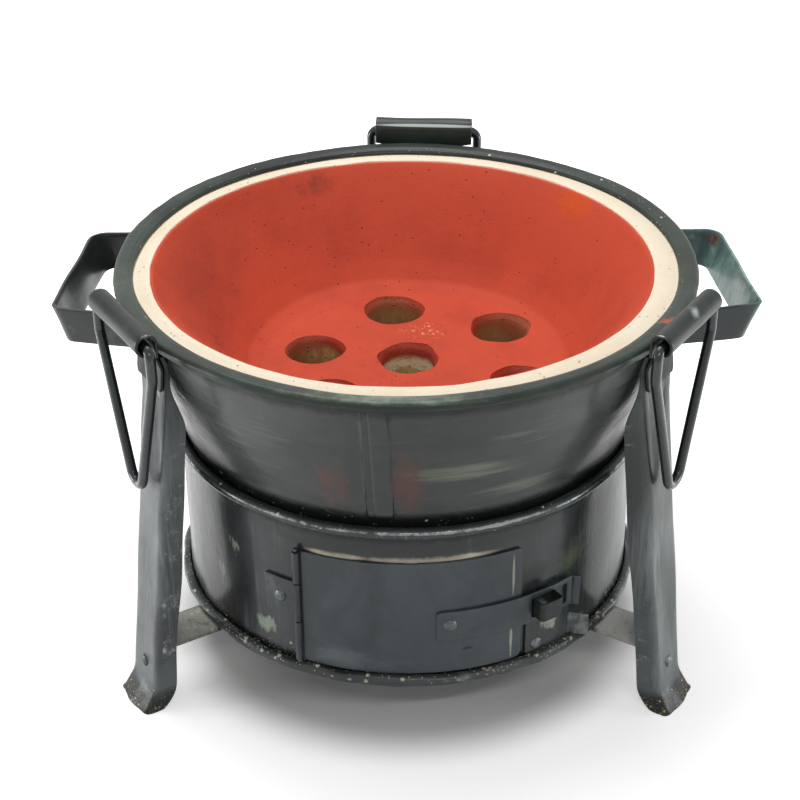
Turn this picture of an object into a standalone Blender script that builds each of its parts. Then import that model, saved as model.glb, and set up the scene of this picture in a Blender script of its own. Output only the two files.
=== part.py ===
"""Portable charcoal stove: a sheet-metal bucket on three folded legs, with a clay fire bowl.

All sizes are in metres and +Z is up. Radii are measured from the stove's axis. Azimuths are
angles about that axis in degrees, counted from +X towards +Y. The ash door faces -Y.
"""

import math

import bmesh
import bpy
from mathutils import Matrix, Vector

# General fits
FACETS = 48  # sides of every large turned piece, all starting at azimuth 0
GAP = 0.0003  # clearance between pieces that touch
SHELL_SHEET = 0.0012

# Rolled hoop round the top edge, with a wire inside
HOOP_RADIUS = 0.150
HOOP_TOP = 0.220
HOOP_SHEET = 0.0011
HOOP_ROLL_RADIUS = 0.0031
HOOP_LIP_RADIUS = 0.1395
HOOP_LIP_DROP = 0.0028

# Drum below the waist
DRUM_RADIUS = 0.1215
WAIST_HEIGHT = 0.1309
BEAD_ROLL_RADIUS = 0.0030

# Bottom plate with its folded seam
PAN_BOTTOM = 0.0375
PAN_RADIUS = 0.1269
PAN_FOLD_HEIGHT = 0.0060
PAN_FOLD_CLEARANCE = 0.0006

# Cone above the waist: a short collar stands inside the drum, then the wall widens
COLLAR_CLEARANCE = 0.0004
COLLAR_RISE = 0.0036
COLLAR_DEPTH = 0.0024
CONE_SLOPE = 0.3253
SHELL_TOP_CLEARANCE = 0.0004
LEDGE_RADIUS = 0.106
SEAM_AZIMUTH = 264.0
SEAM_WIDTH = 0.012
SEAM_RISE = 0.0009

# Clay fire bowl and the cement that holds it
CEMENT_THICKNESS = 0.0030
BOWL_MOUTH_RADIUS = 0.1303
BOWL_MOUTH_HEIGHT = 0.217
BOWL_RIM_DROP = 0.0050
BOWL_FLOOR = 0.160
BOWL_FLOOR_RADIUS = 0.076
BOWL_FLOOR_THICKNESS = 0.022
BOWL_FOOT_RADIUS = 0.104
CEMENT_LIP_RADIUS = 0.1313
CEMENT_LIP_THICKNESS = 0.0010
GRATE_HOLE_RADIUS = 0.0135
GRATE_HOLE_FLARE = 0.0015
GRATE_HOLES = ((0.001, 0), (0.050, 168), (0.054, 97), (0.061, 33), (0.065, 336), (0.056, 225), (0.058, 280))

# Legs: folded channels, each with a tongue riveted to the cone
LEG_AZIMUTHS = {"rear": 86.0, "front_left": 211.0, "front_right": 327.5}
LEG_SHEET = 0.0020
LEG_WIDTH = 0.030
LEG_FLANGE = 0.010
LEG_TOE_FLARE = 0.0087
LEG_TOE_HEIGHT = 0.012
LEG_SPLAY = 0.0210
LEG_KINK_HEIGHT = 0.202
LEG_TOP_HEIGHT = 0.209
LEG_RIVET_HEIGHT = 0.205
FLANGE_TAPER_START = 0.165
FLANGE_TAPER_END = 0.197

# Straps from the bottom plate to the legs
STRAP_WIDTH = 0.025
STRAP_SHEET = 0.0020
STRAP_INNER_RADIUS = 0.090
STRAP_FOOT_HEIGHT = 0.016
STRAP_LEG_RIVET_HEIGHT = 0.024
STRAP_PAN_RIVET_RADIUS = 0.104

# Pot rests: a rolled sleeve on each leg, and a bent rod that hangs from it
CLIP_SHEET = 0.0015
SLEEVE_RADIUS = 0.0058
SLEEVE_LENGTH = 0.056
SLEEVE_STANDOFF = 0.0022  # between the hoop and the sleeve
SLEEVE_AXIS_HEIGHT = 0.2255
CLIP_TAIL_WIDTH = 0.028
CLIP_TAIL_HEIGHT = 0.190
CLIP_SHOULDER_HEIGHT = 0.217
ROD_RADIUS = 0.0026
ROD_LENGTH = 0.092
ROD_SIDE_CLEARANCE = 0.0004
ROD_STRAIGHT = 0.016
ROD_CORNER_RADIUS = 0.0035
ROD_TIP_RADIUS = 0.0075

# Side handles
HANDLE_SHEET = 0.0018
HANDLE_WIDTH = 0.020
HANDLE_TOP = 0.207
HANDLE_FRONT_CORNER = (0.1800, -0.0295)
HANDLE_REAR_CORNER = (0.1705, 0.0575)
HANDLE_FRONT_ROOT = 344.7
HANDLE_REAR_ROOT = 23.5
HANDLE_FOOT_SPREAD = 6.0
HANDLE_BEND_RADIUS = 0.004

# Door, hinge and latch on the drum
DOOR_BOTTOM = 0.0445
DOOR_TOP = 0.1125
DOOR_SHEET = 0.0012
HINGE_AZIMUTH = 243.2
DOOR_END_AZIMUTH = 298.0
OPENING_AZIMUTHS = (247.5, 293.8)
OPENING_BOTTOM = 0.050
OPENING_TOP = 0.106
HINGE_OFFSET = 0.0024
KNUCKLE_RADIUS = 0.0020
PIN_RADIUS = 0.0010
PIN_BOTTOM = 0.0440
PIN_TOP = 0.1140
KNUCKLE_BOTTOM = 0.0695
KNUCKLE_TOP = 0.0925
KNUCKLE_END_CLEARANCE = 0.0006
HINGE_STRAP_AZIMUTH = 233.5
HINGE_RIVET = (238.2, 0.081)
HASP_SHEET = 0.0015
HASP_AZIMUTHS = (276.6, 312.7)
HASP_BOTTOM = 0.065
HASP_TOP = 0.083
HASP_LIP = 0.0038
HASP_RIVET = (279.7, 0.075)
STAPLE_AZIMUTH = 304.0
STAPLE_WIDTH = 0.014
STAPLE_REACH = 0.0105
STAPLE_BOTTOM = 0.0685
STAPLE_TOP = 0.0795
STAPLE_SHEET = 0.0012
STAPLE_FOOT_AZIMUTHS = (299.3, 313.0)
STAPLE_FOOT_BOTTOM = 0.044
STAPLE_FOOT_RISE = 0.0006
SLOT_CLEARANCE = 0.0007
SLOT_SIDE_BEFORE = 0.001
SLOT_SIDE_AFTER = 0.0070
STAPLE_TAB_LENGTH = 0.0105
STAPLE_TAB_AZIMUTH = 346.0
STAPLE_TAB_BOTTOM = 0.0445
STAPLE_TAB_TOP = 0.058
STAPLE_RIVET = (302.5, 0.049)

# Rivets
RIVET_SHANK_RADIUS = 0.0020
RIVET_HEAD_RADIUS = 0.0035
RIVET_HEAD_HEIGHT = 0.0016
RIVET_TAIL_RADIUS = 0.0030
RIVET_TAIL_HEIGHT = 0.0012
RIVET_TAIL_CLEARANCE = 0.0005

# Sizes that follow from the ones above
CONE_COS = 1 / math.hypot(1, CONE_SLOPE)
CONE_TILT = -math.atan(CONE_SLOPE)
COLLAR_RADIUS = DRUM_RADIUS - SHELL_SHEET - COLLAR_CLEARANCE
CONE_START = WAIST_HEIGHT + COLLAR_RISE
COLLAR_BOTTOM = WAIST_HEIGHT - COLLAR_DEPTH
LEDGE_TOP = COLLAR_BOTTOM + SHELL_SHEET
HOOP_ROLL_CENTRE = (HOOP_RADIUS - HOOP_ROLL_RADIUS, HOOP_TOP - HOOP_ROLL_RADIUS)
SHELL_TOP = HOOP_ROLL_CENTRE[1] - HOOP_ROLL_RADIUS - SHELL_TOP_CLEARANCE
PAN_TOP = PAN_BOTTOM + SHELL_SHEET
FOLD_TOP = PAN_BOTTOM + PAN_FOLD_HEIGHT
FOLD_INNER_RADIUS = DRUM_RADIUS + PAN_FOLD_CLEARANCE
PANEL_INNER = DRUM_RADIUS + GAP
PANEL_OUTER = PANEL_INNER + DOOR_SHEET
HINGE_RADIUS = DRUM_RADIUS + HINGE_OFFSET
BORE_RADIUS = PIN_RADIUS + GAP
SLEEVE_BORE = SLEEVE_RADIUS - CLIP_SHEET
SLEEVE_AXIS_RADIUS = HOOP_RADIUS + SLEEVE_STANDOFF + SLEEVE_RADIUS
ROD_AXIS_HEIGHT = SLEEVE_AXIS_HEIGHT - (SLEEVE_BORE - ROD_RADIUS - GAP)
ROD_HALF_WIDTH = SLEEVE_LENGTH / 2 + ROD_SIDE_CLEARANCE + ROD_RADIUS
LEG_RISE = LEG_KINK_HEIGHT - LEG_TOE_HEIGHT


def along_cone(distance):
    """Horizontal step that moves a face by this distance along the cone's normal."""
    return distance / CONE_COS


def cone_radius(height, outward=0.0):
    """Radius of the cone's outer face at a height, moved out along its normal."""
    return COLLAR_RADIUS + CONE_SLOPE * (height - CONE_START) + along_cone(outward)


LEG_KINK_RADIUS = cone_radius(LEG_KINK_HEIGHT, GAP + LEG_SHEET)
LEG_ANKLE_RADIUS = LEG_KINK_RADIUS + LEG_SPLAY
LEG_TOE_RADIUS = LEG_ANKLE_RADIUS + LEG_TOE_FLARE
LEG_SLOPE = LEG_SPLAY / LEG_RISE
LEG_COS = 1 / math.hypot(1, LEG_SLOPE)
LEG_TILT = math.atan(LEG_SLOPE)


def web_radius(height, inward=0.0):
    """Radius of the leg's outer face at a height, moved in along its normal."""
    return LEG_KINK_RADIUS + LEG_SLOPE * (LEG_KINK_HEIGHT - height) - inward / LEG_COS


def polar(radius, azimuth):
    return Vector((radius * math.cos(math.radians(azimuth)), radius * math.sin(math.radians(azimuth))))


def facet_point(radius, azimuth):
    """The point at an azimuth on the many-sided ring whose corners lie at this radius."""
    step = 360 / FACETS
    middle = (math.floor(azimuth / step + 1e-9) + 0.5) * step
    shrink = math.cos(math.radians(step / 2)) / math.cos(math.radians(azimuth - middle))
    return polar(radius * shrink, azimuth)


def facet_arc(radius, start, end):
    """Points along the many-sided ring from one azimuth to a larger one."""
    step = 360 / FACETS
    corners = [n * step for n in range(math.floor(start / step) + 1, math.ceil(end / step))]
    return [facet_point(radius, a) for a in [start, *corners, end]]


def offset_line(points, distance):
    """The open line moved to its left by a distance, with mitred corners."""
    points = [Vector(p) for p in points]
    normals = []
    for a, b in zip(points, points[1:]):
        run = (b - a).normalized()
        normals.append(Vector((-run.y, run.x)))
    moved = [points[0] + normals[0] * distance]
    for corner, one, two in zip(points[1:], normals, normals[1:]):
        bisector = (one + two).normalized()
        moved.append(corner + bisector * (distance / bisector.dot(one)))
    moved.append(points[-1] + normals[-1] * distance)
    return moved


def strip(points, thickness):
    """Closed outline of a sheet along a line: thickness to the left, or to the right if negative."""
    return [Vector(p) for p in points] + offset_line(points, thickness)[::-1]


def rounded(points, radius, pieces=3):
    """The open line with each inner corner replaced by an arc."""
    points = [Vector(p) for p in points]
    result = [points[0]]
    for before, corner, after in zip(points, points[1:], points[2:]):
        one, two = (before - corner).normalized(), (after - corner).normalized()
        half = one.angle(two) / 2
        reach = radius / math.tan(half)
        centre = corner + (one + two).normalized() * (radius / math.sin(half))
        start, end = corner + one * reach - centre, corner + two * reach - centre
        turn = start.angle_signed(end)
        for n in range(pieces + 1):
            angle = -turn * n / pieces
            c, s = math.cos(angle), math.sin(angle)
            result.append(centre + Vector((c * start.x - s * start.y, s * start.x + c * start.y)))
    return result + [points[-1]]


def arc(centre, radius, start, end, pieces):
    """Points on an arc between two angles in degrees."""
    return [
        Vector(centre) + polar(radius, start + (end - start) * n / pieces) for n in range(pieces + 1)
    ]


for old in list(bpy.data.objects):
    bpy.data.objects.remove(old, do_unlink=True)

stove_parts = bpy.data.collections.new("charcoal_stove")
cutters = bpy.data.collections.new("cutters")
bpy.context.scene.collection.children.link(stove_parts)
bpy.context.scene.collection.children.link(cutters)

GREEN_BLACK = (0.040, 0.052, 0.048)
PAINT = (GREEN_BLACK, 0.42, 0.35)
PAINT_WORN = ((0.085, 0.100, 0.098), 0.45, 0.45)
STEEL_DULL = ((0.17, 0.19, 0.19), 0.50, 0.80)
DARK_IRON = ((0.035, 0.042, 0.040), 0.55, 0.60)
CLAY = ((0.560, 0.110, 0.060), 0.85, 0.0)
CEMENT = ((0.820, 0.680, 0.520), 0.92, 0.0)


def finish(obj, look):
    """Give the object its own Principled material."""
    colour, roughness, metallic = look
    material = bpy.data.materials.new(obj.name)
    material.use_nodes = True
    shader = material.node_tree.nodes["Principled BSDF"]
    shader.inputs["Base Color"].default_value = (*colour, 1)
    shader.inputs["Roughness"].default_value = roughness
    shader.inputs["Metallic"].default_value = metallic
    obj.data.materials.clear()
    obj.data.materials.append(material)
    return obj


def new_object(name, data, collection=stove_parts):
    obj = bpy.data.objects.new(name, data)
    collection.objects.link(obj)
    if collection is cutters:
        obj.hide_render = True
        obj.display_type = "WIRE"
    return obj


def turned(name, profile, steps=FACETS, on_axis=False, collection=stove_parts):
    """A profile in the XZ plane turned about Z. The profile runs clockwise, down its outer side."""
    points = [Vector(p) for p in profile]
    area = sum(a.x * b.y - b.x * a.y for a, b in zip(points, points[1:] + points[:1]))
    if area > 0:
        points.reverse()
    mesh = bpy.data.meshes.new(name)
    last = len(points) - 1
    edges = [(n, n + 1) for n in range(last)] + ([] if on_axis else [(last, 0)])
    mesh.from_pydata([(p.x, 0, p.y) for p in points], edges, [])
    obj = new_object(name, mesh, collection)
    screw = obj.modifiers.new("turn", "SCREW")
    screw.axis = "Z"
    screw.angle = math.tau
    screw.steps = screw.render_steps = steps
    screw.use_merge_vertices = True
    screw.merge_threshold = 0.00001
    screw.use_smooth_shade = True
    return obj


def plate(name, outline, thickness, collection=stove_parts):
    """A flat outline in the XY plane, with its thickness centred on that plane."""
    curve = bpy.data.curves.new(name, "CURVE")
    curve.dimensions = "2D"
    curve.fill_mode = "BOTH"
    curve.extrude = thickness / 2
    spline = curve.splines.new("POLY")
    spline.points.add(len(outline) - 1)
    for point, place in zip(spline.points, outline):
        point.co = (place[0], place[1], 0, 1)
    spline.use_cyclic_u = True
    return new_object(name, curve, collection)


def upright_plate(name, outline, width, collection=stove_parts):
    """A plate whose outline is given as radius and height, at azimuth 0, centred on y = 0."""
    obj = plate(name, outline, width, collection)
    obj.rotation_euler = (math.pi / 2, 0, 0)
    return obj


def level_plate(name, outline, bottom, top, azimuth=0.0, collection=stove_parts):
    """A plate whose outline is given in plan, between two heights."""
    obj = plate(name, outline, top - bottom, collection)
    obj.location.z = (top + bottom) / 2
    obj.rotation_euler.z = math.radians(azimuth)
    return obj


def cylinder(name, centre, axis, radius, length, sides=12, far_radius=None, collection=cutters):
    """A cylinder or a cone along an axis. far_radius is the radius at the end the axis points to."""
    mesh = bpy.data.meshes.new(name)
    shape = bmesh.new()
    end = radius if far_radius is None else far_radius
    bmesh.ops.create_cone(
        shape, cap_ends=True, segments=sides, radius1=radius, radius2=end, depth=length
    )
    shape.to_mesh(mesh)
    shape.free()
    obj = new_object(name, mesh, collection)
    obj.matrix_world = (
        Matrix.Translation(centre) @ Vector(axis).to_track_quat("Z", "Y").to_matrix().to_4x4()
    )
    return obj


def baked(obj, smooth_angle=30):
    """The evaluated object as one welded mesh in stove coordinates. The object is removed."""
    bpy.context.view_layer.update()
    graph = bpy.context.evaluated_depsgraph_get()
    mesh = bpy.data.meshes.new_from_object(obj.evaluated_get(graph))
    mesh.transform(obj.matrix_world)
    name = obj.name
    bpy.data.objects.remove(obj, do_unlink=True)
    shape = bmesh.new()
    shape.from_mesh(mesh)
    bmesh.ops.remove_doubles(shape, verts=shape.verts, dist=0.000001)
    bmesh.ops.recalc_face_normals(shape, faces=shape.faces)
    shape.to_mesh(mesh)
    shape.free()
    mesh.name = name
    mesh.shade_smooth()
    mesh.set_sharp_from_angle(angle=math.radians(smooth_angle))
    return mesh


def boolean(obj, other, operation="DIFFERENCE"):
    step = obj.modifiers.new(other.name, "BOOLEAN")
    step.operation = operation
    step.solver = "EXACT"
    step.object = other
    return obj


def shaped(name, base, joined=(), removed=()):
    """One mesh from a base object, objects joined to it, and objects cut from it."""
    names = [name + "_join", name + "_cut"]
    body = new_object(name + "_blank", baked(base), cutters)
    helpers = []
    for group, operation, label in ((joined, "UNION", names[0]), (removed, "DIFFERENCE", names[1])):
        for other in group:
            helper = new_object(label, baked(other), cutters)
            helpers.append(helper)
            boolean(body, helper, operation)
    mesh = baked(body)
    for helper in helpers:
        bpy.data.objects.remove(helper, do_unlink=True)
    mesh.name = name
    return mesh


def add_part(name, mesh, look, azimuth=0.0):
    """A node from a mesh that was made at azimuth 0."""
    obj = new_object(name, mesh.copy())
    obj.data.name = name
    obj.rotation_euler.z = math.radians(azimuth)
    return finish(obj, look)


def move_origin(obj, origin):
    """Put the object's origin at a point in stove coordinates, leaving its shape where it is."""
    bpy.context.view_layer.update()
    inverse = obj.matrix_world.inverted()
    obj.data.transform(Matrix.Translation(-(inverse @ Vector(origin))))
    obj.location = origin
    return obj


def axis_at(radius, height, tilt, azimuth=0.0):
    """A point and an outward direction that rises by tilt, both at an azimuth."""
    spin = Matrix.Rotation(math.radians(azimuth), 3, "Z")
    return spin @ Vector((radius, 0, height)), spin @ Vector((math.cos(tilt), 0, math.sin(tilt)))


def rivet(name, radius, height, tilt, azimuth, grip):
    """A rivet whose head sits on the face at this point, through sheets of this total grip."""
    tail = -grip - RIVET_TAIL_CLEARANCE
    top = GAP + RIVET_HEAD_HEIGHT
    profile = [
        (0, top),
        (RIVET_HEAD_RADIUS * 0.62, top - RIVET_HEAD_HEIGHT * 0.22),
        (RIVET_HEAD_RADIUS, GAP + RIVET_HEAD_HEIGHT * 0.25),
        (RIVET_HEAD_RADIUS, GAP),
        (RIVET_SHANK_RADIUS, GAP),
        (RIVET_SHANK_RADIUS, tail),
        (RIVET_TAIL_RADIUS, tail),
        (RIVET_TAIL_RADIUS, tail - RIVET_TAIL_HEIGHT),
        (0, tail - RIVET_TAIL_HEIGHT),
    ]
    obj = turned(name, profile, steps=8, on_axis=True)
    point, outward = axis_at(radius, height, tilt, azimuth)
    obj.location = point
    obj.rotation_mode = "QUATERNION"
    obj.rotation_quaternion = outward.to_track_quat("Z", "Y")
    return finish(obj, PAINT_WORN)


def rivet_hole(name, radius, height, tilt, azimuth=0.0, reach=0.009):
    point, outward = axis_at(radius, height, tilt, azimuth)
    return cylinder(name, point, outward, RIVET_SHANK_RADIUS + GAP, 2 * reach, sides=8)


def sector(name, inner, outer, start, end, bottom, top, collection=stove_parts):
    """A curved plate that follows the drum between two azimuths and two heights."""
    outline = facet_arc(inner, start, end) + facet_arc(outer, start, end)[::-1]
    return level_plate(name, outline, bottom, top, collection=collection)


# Cone with its collar, the ledge that carries the fire bowl, and the raised lap seam.
wall = along_cone(SHELL_SHEET)
upper_shell = turned(
    "upper_shell",
    [
        (cone_radius(SHELL_TOP), SHELL_TOP),
        (COLLAR_RADIUS, CONE_START),
        (COLLAR_RADIUS, COLLAR_BOTTOM),
        (LEDGE_RADIUS, COLLAR_BOTTOM),
        (LEDGE_RADIUS, LEDGE_TOP),
        (COLLAR_RADIUS - SHELL_SHEET, LEDGE_TOP),
        (COLLAR_RADIUS - SHELL_SHEET, CONE_START + (wall - SHELL_SHEET) / CONE_SLOPE),
        (cone_radius(SHELL_TOP) - wall, SHELL_TOP),
    ],
)
finish(upper_shell, PAINT)
seam_low = CONE_START + 0.0025
seam_high = SHELL_TOP - 0.0014
seam_blank = upright_plate(
    "lap_seam",
    [
        (cone_radius(seam_low, SEAM_RISE), seam_low),
        (cone_radius(seam_high, SEAM_RISE), seam_high),
        (cone_radius(seam_high, -SHELL_SHEET * 0.6), seam_high),
        (cone_radius(seam_low, -SHELL_SHEET * 0.6), seam_low),
    ],
    SEAM_WIDTH,
)
seam = new_object("lap_seam", baked(seam_blank), cutters)
seam.rotation_euler.z = math.radians(SEAM_AZIMUTH)
boolean(upper_shell, seam, "UNION")

# Hoop: a sheet lip laid inwards over the cement, rolled outwards round a wire.
roll = arc(HOOP_ROLL_CENTRE, HOOP_ROLL_RADIUS, 90, -180, 6)
hoop_line = [
    (HOOP_LIP_RADIUS, HOOP_TOP - HOOP_LIP_DROP),
    (HOOP_LIP_RADIUS + 0.0008, HOOP_TOP - HOOP_LIP_DROP / 2),
    (HOOP_LIP_RADIUS + 0.0035, HOOP_TOP - 0.0003),
    *roll,
]
finish(turned("rim_hoop", strip(hoop_line, -HOOP_SHEET)), PAINT)
rim_wire_radius = HOOP_ROLL_RADIUS - HOOP_SHEET - GAP
finish(
    turned("rim_wire", arc(HOOP_ROLL_CENTRE, rim_wire_radius, 0, -300, 5)),
    DARK_IRON,
)

# Drum: a foot flange inside the folded seam, the wall, and the wired bead at the waist.
bead_middle = BEAD_ROLL_RADIUS - SHELL_SHEET / 2
bead_centre = (DRUM_RADIUS - SHELL_SHEET + BEAD_ROLL_RADIUS, WAIST_HEIGHT)
flange_tip = PAN_RADIUS - SHELL_SHEET - PAN_FOLD_CLEARANCE
drum_line = [
    (flange_tip, PAN_TOP + GAP),
    (DRUM_RADIUS - SHELL_SHEET, PAN_TOP + GAP),
    *arc(bead_centre, BEAD_ROLL_RADIUS, 180, -90, 6),
]
lower_shell = finish(turned("lower_shell", strip(drum_line, -SHELL_SHEET)), PAINT)
waist_wire_radius = BEAD_ROLL_RADIUS - SHELL_SHEET - GAP
finish(turned("waist_wire", arc(bead_centre, waist_wire_radius, 0, -300, 5)), DARK_IRON)
opening = sector(
    "door_opening",
    DRUM_RADIUS - 10 * SHELL_SHEET,
    DRUM_RADIUS + 10 * SHELL_SHEET,
    *OPENING_AZIMUTHS,
    OPENING_BOTTOM,
    OPENING_TOP,
    cutters,
)
opening = new_object("door_opening", baked(opening), cutters)
boolean(lower_shell, opening)

# Bottom plate, folded up and in over the drum's foot flange.
base_pan = turned(
    "base_pan",
    [
        (0, PAN_TOP),
        (PAN_RADIUS - SHELL_SHEET, PAN_TOP),
        (PAN_RADIUS - SHELL_SHEET, FOLD_TOP - SHELL_SHEET),
        (FOLD_INNER_RADIUS, FOLD_TOP - SHELL_SHEET),
        (FOLD_INNER_RADIUS, FOLD_TOP),
        (PAN_RADIUS, FOLD_TOP),
        (PAN_RADIUS, PAN_BOTTOM),
        (0, PAN_BOTTOM),
    ],
    on_axis=True,
)
finish(base_pan, PAINT)

# Fire bowl. Its outer side follows the cone, and its foot stands on the ledge.
cement_outer = -SHELL_SHEET - GAP
bowl_outer = cement_outer - CEMENT_THICKNESS - GAP
bowl_bottom = LEDGE_TOP + GAP
bowl_rim = BOWL_MOUTH_HEIGHT - BOWL_RIM_DROP
bowl_under = BOWL_FLOOR - BOWL_FLOOR_THICKNESS
bowl_foot = COLLAR_RADIUS + bowl_outer
wall_run = BOWL_MOUTH_RADIUS - BOWL_FLOOR_RADIUS
wall_rise = BOWL_MOUTH_HEIGHT - BOWL_FLOOR
clay_liner = turned(
    "clay_liner",
    [
        (0, BOWL_FLOOR),
        (BOWL_FLOOR_RADIUS, BOWL_FLOOR),
        (BOWL_FLOOR_RADIUS + 0.15 * wall_run, BOWL_FLOOR + 0.06 * wall_rise),
        (BOWL_FLOOR_RADIUS + 0.31 * wall_run, BOWL_FLOOR + 0.22 * wall_rise),
        (BOWL_FLOOR_RADIUS + 0.54 * wall_run, BOWL_FLOOR + 0.48 * wall_rise),
        (BOWL_MOUTH_RADIUS, BOWL_MOUTH_HEIGHT),
        (cone_radius(bowl_rim, bowl_outer), bowl_rim),
        (bowl_foot, CONE_START),
        (bowl_foot, bowl_bottom),
        (BOWL_FOOT_RADIUS, bowl_bottom),
        (BOWL_FOOT_RADIUS, bowl_under),
        (0, bowl_under),
    ],
    on_axis=True,
)
finish(clay_liner, CLAY)
for number, (radius, azimuth) in enumerate(GRATE_HOLES, 1):
    hole = cylinder(
        f"grate_hole_{number}",
        (*polar(radius, azimuth), BOWL_FLOOR - BOWL_FLOOR_THICKNESS / 2),
        (0, 0, 1),
        GRATE_HOLE_RADIUS + GRATE_HOLE_FLARE,
        BOWL_FLOOR_THICKNESS + 0.004,
        sides=16,
        far_radius=GRATE_HOLE_RADIUS,
    )
    boolean(clay_liner, hole)

# Cement between the bowl and the cone, feathered inwards over the bowl's rim.
rim_slope = BOWL_RIM_DROP / (cone_radius(bowl_rim, bowl_outer) - BOWL_MOUTH_RADIUS)
lip_bottom = BOWL_MOUTH_HEIGHT - rim_slope * (CEMENT_LIP_RADIUS - BOWL_MOUTH_RADIUS) + 1.2 * GAP
cement_top = HOOP_TOP - HOOP_LIP_DROP - HOOP_SHEET / 2 - 2 * GAP
cement_shoulder = HOOP_ROLL_CENTRE[0] - HOOP_ROLL_RADIUS - 3 * GAP
cement_high = SHELL_TOP - GAP
cement_packing = turned(
    "cement_packing",
    [
        (CEMENT_LIP_RADIUS, lip_bottom),
        (CEMENT_LIP_RADIUS, lip_bottom + CEMENT_LIP_THICKNESS),
        (HOOP_LIP_RADIUS - 0.0010, cement_top + GAP),
        (cement_shoulder, cement_top),
        (cone_radius(cement_high, cement_outer), cement_high),
        (COLLAR_RADIUS + cement_outer, CONE_START + GAP),
        (COLLAR_RADIUS + cement_outer, bowl_bottom),
        (bowl_foot + GAP, bowl_bottom),
        (bowl_foot + GAP, CONE_START - GAP),
        (cone_radius(bowl_rim, bowl_outer + GAP), bowl_rim + GAP),
    ],
)
finish(cement_packing, CEMENT)


def drill_cone(name, radius, height, tilt, azimuth, grip):
    """Hole in the cone for a rivet, and a pocket in the cement for its tail."""
    boolean(upper_shell, rivet_hole(name + "_hole", radius, height, tilt, azimuth))
    point, outward = axis_at(radius, height, tilt, azimuth)
    depth = grip + RIVET_TAIL_CLEARANCE + RIVET_TAIL_HEIGHT + GAP
    pocket = cylinder(
        name + "_pocket", point - outward * depth / 2, outward, RIVET_TAIL_RADIUS + 2 * GAP, depth, sides=8
    )
    boolean(cement_packing, pocket)


# Leg: a channel with its flanges inwards, a turned-out toe and a tongue along the cone.
web_line = [
    (LEG_TOE_RADIUS, 0),
    (LEG_ANKLE_RADIUS, LEG_TOE_HEIGHT),
    (LEG_KINK_RADIUS, LEG_KINK_HEIGHT),
    (cone_radius(LEG_TOP_HEIGHT, GAP + LEG_SHEET), LEG_TOP_HEIGHT),
]
inner_line = offset_line(web_line, LEG_SHEET)
toe_run = inner_line[1] - inner_line[0]
toe_inner = inner_line[0] - toe_run * (inner_line[0].y / toe_run.y)
toe_below = toe_inner - toe_run * (0.002 / toe_run.y)
wedge_height = FLANGE_TAPER_END - 0.005
leg_block = [
    *web_line,
    inner_line[3],
    inner_line[2],
    (web_radius(FLANGE_TAPER_END, LEG_SHEET), FLANGE_TAPER_END),
    (web_radius(FLANGE_TAPER_START, LEG_SHEET + LEG_FLANGE), FLANGE_TAPER_START),
    (web_radius(LEG_TOE_HEIGHT, LEG_SHEET + LEG_FLANGE), LEG_TOE_HEIGHT),
    (web_radius(0, LEG_SHEET + LEG_FLANGE), 0),
]
leg_hollow = [
    toe_below,
    inner_line[1],
    (web_radius(wedge_height, LEG_SHEET), wedge_height),
    (web_radius(wedge_height, LEG_SHEET + 2 * LEG_FLANGE), wedge_height),
    (web_radius(0, LEG_SHEET + 2 * LEG_FLANGE), toe_below.y),
]
foot_rivet = (web_radius(STRAP_LEG_RIVET_HEIGHT), STRAP_LEG_RIVET_HEIGHT, LEG_TILT)
leaf_outward = GAP + LEG_SHEET + GAP + CLIP_SHEET
top_rivet = (cone_radius(LEG_RIVET_HEIGHT, leaf_outward), LEG_RIVET_HEIGHT, CONE_TILT)
leg_mesh = shaped(
    "leg",
    upright_plate("leg_block", leg_block, LEG_WIDTH),
    removed=[
        upright_plate("leg_hollow", leg_hollow, LEG_WIDTH - 2 * LEG_SHEET),
        rivet_hole("leg_foot_hole", *foot_rivet, reach=0.007),
        rivet_hole("leg_top_hole", *top_rivet, reach=0.007),
    ],
)

# Strap: flat under the bottom plate, bent down inside the leg's channel.
strap_top = PAN_BOTTOM - GAP
strap_line = rounded(
    [
        (web_radius(STRAP_FOOT_HEIGHT, LEG_SHEET + GAP), STRAP_FOOT_HEIGHT),
        (web_radius(strap_top, LEG_SHEET + GAP), strap_top),
        (STRAP_INNER_RADIUS, strap_top),
    ],
    2 * STRAP_SHEET,
)
pan_rivet = (STRAP_PAN_RIVET_RADIUS, PAN_TOP, math.pi / 2)
strap_mesh = shaped(
    "strap",
    upright_plate("strap_blank", strip(strap_line, STRAP_SHEET), STRAP_WIDTH),
    removed=[
        rivet_hole("strap_foot_hole", *foot_rivet, reach=0.007),
        rivet_hole("strap_pan_hole", *pan_rivet, reach=0.007),
    ],
)

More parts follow.
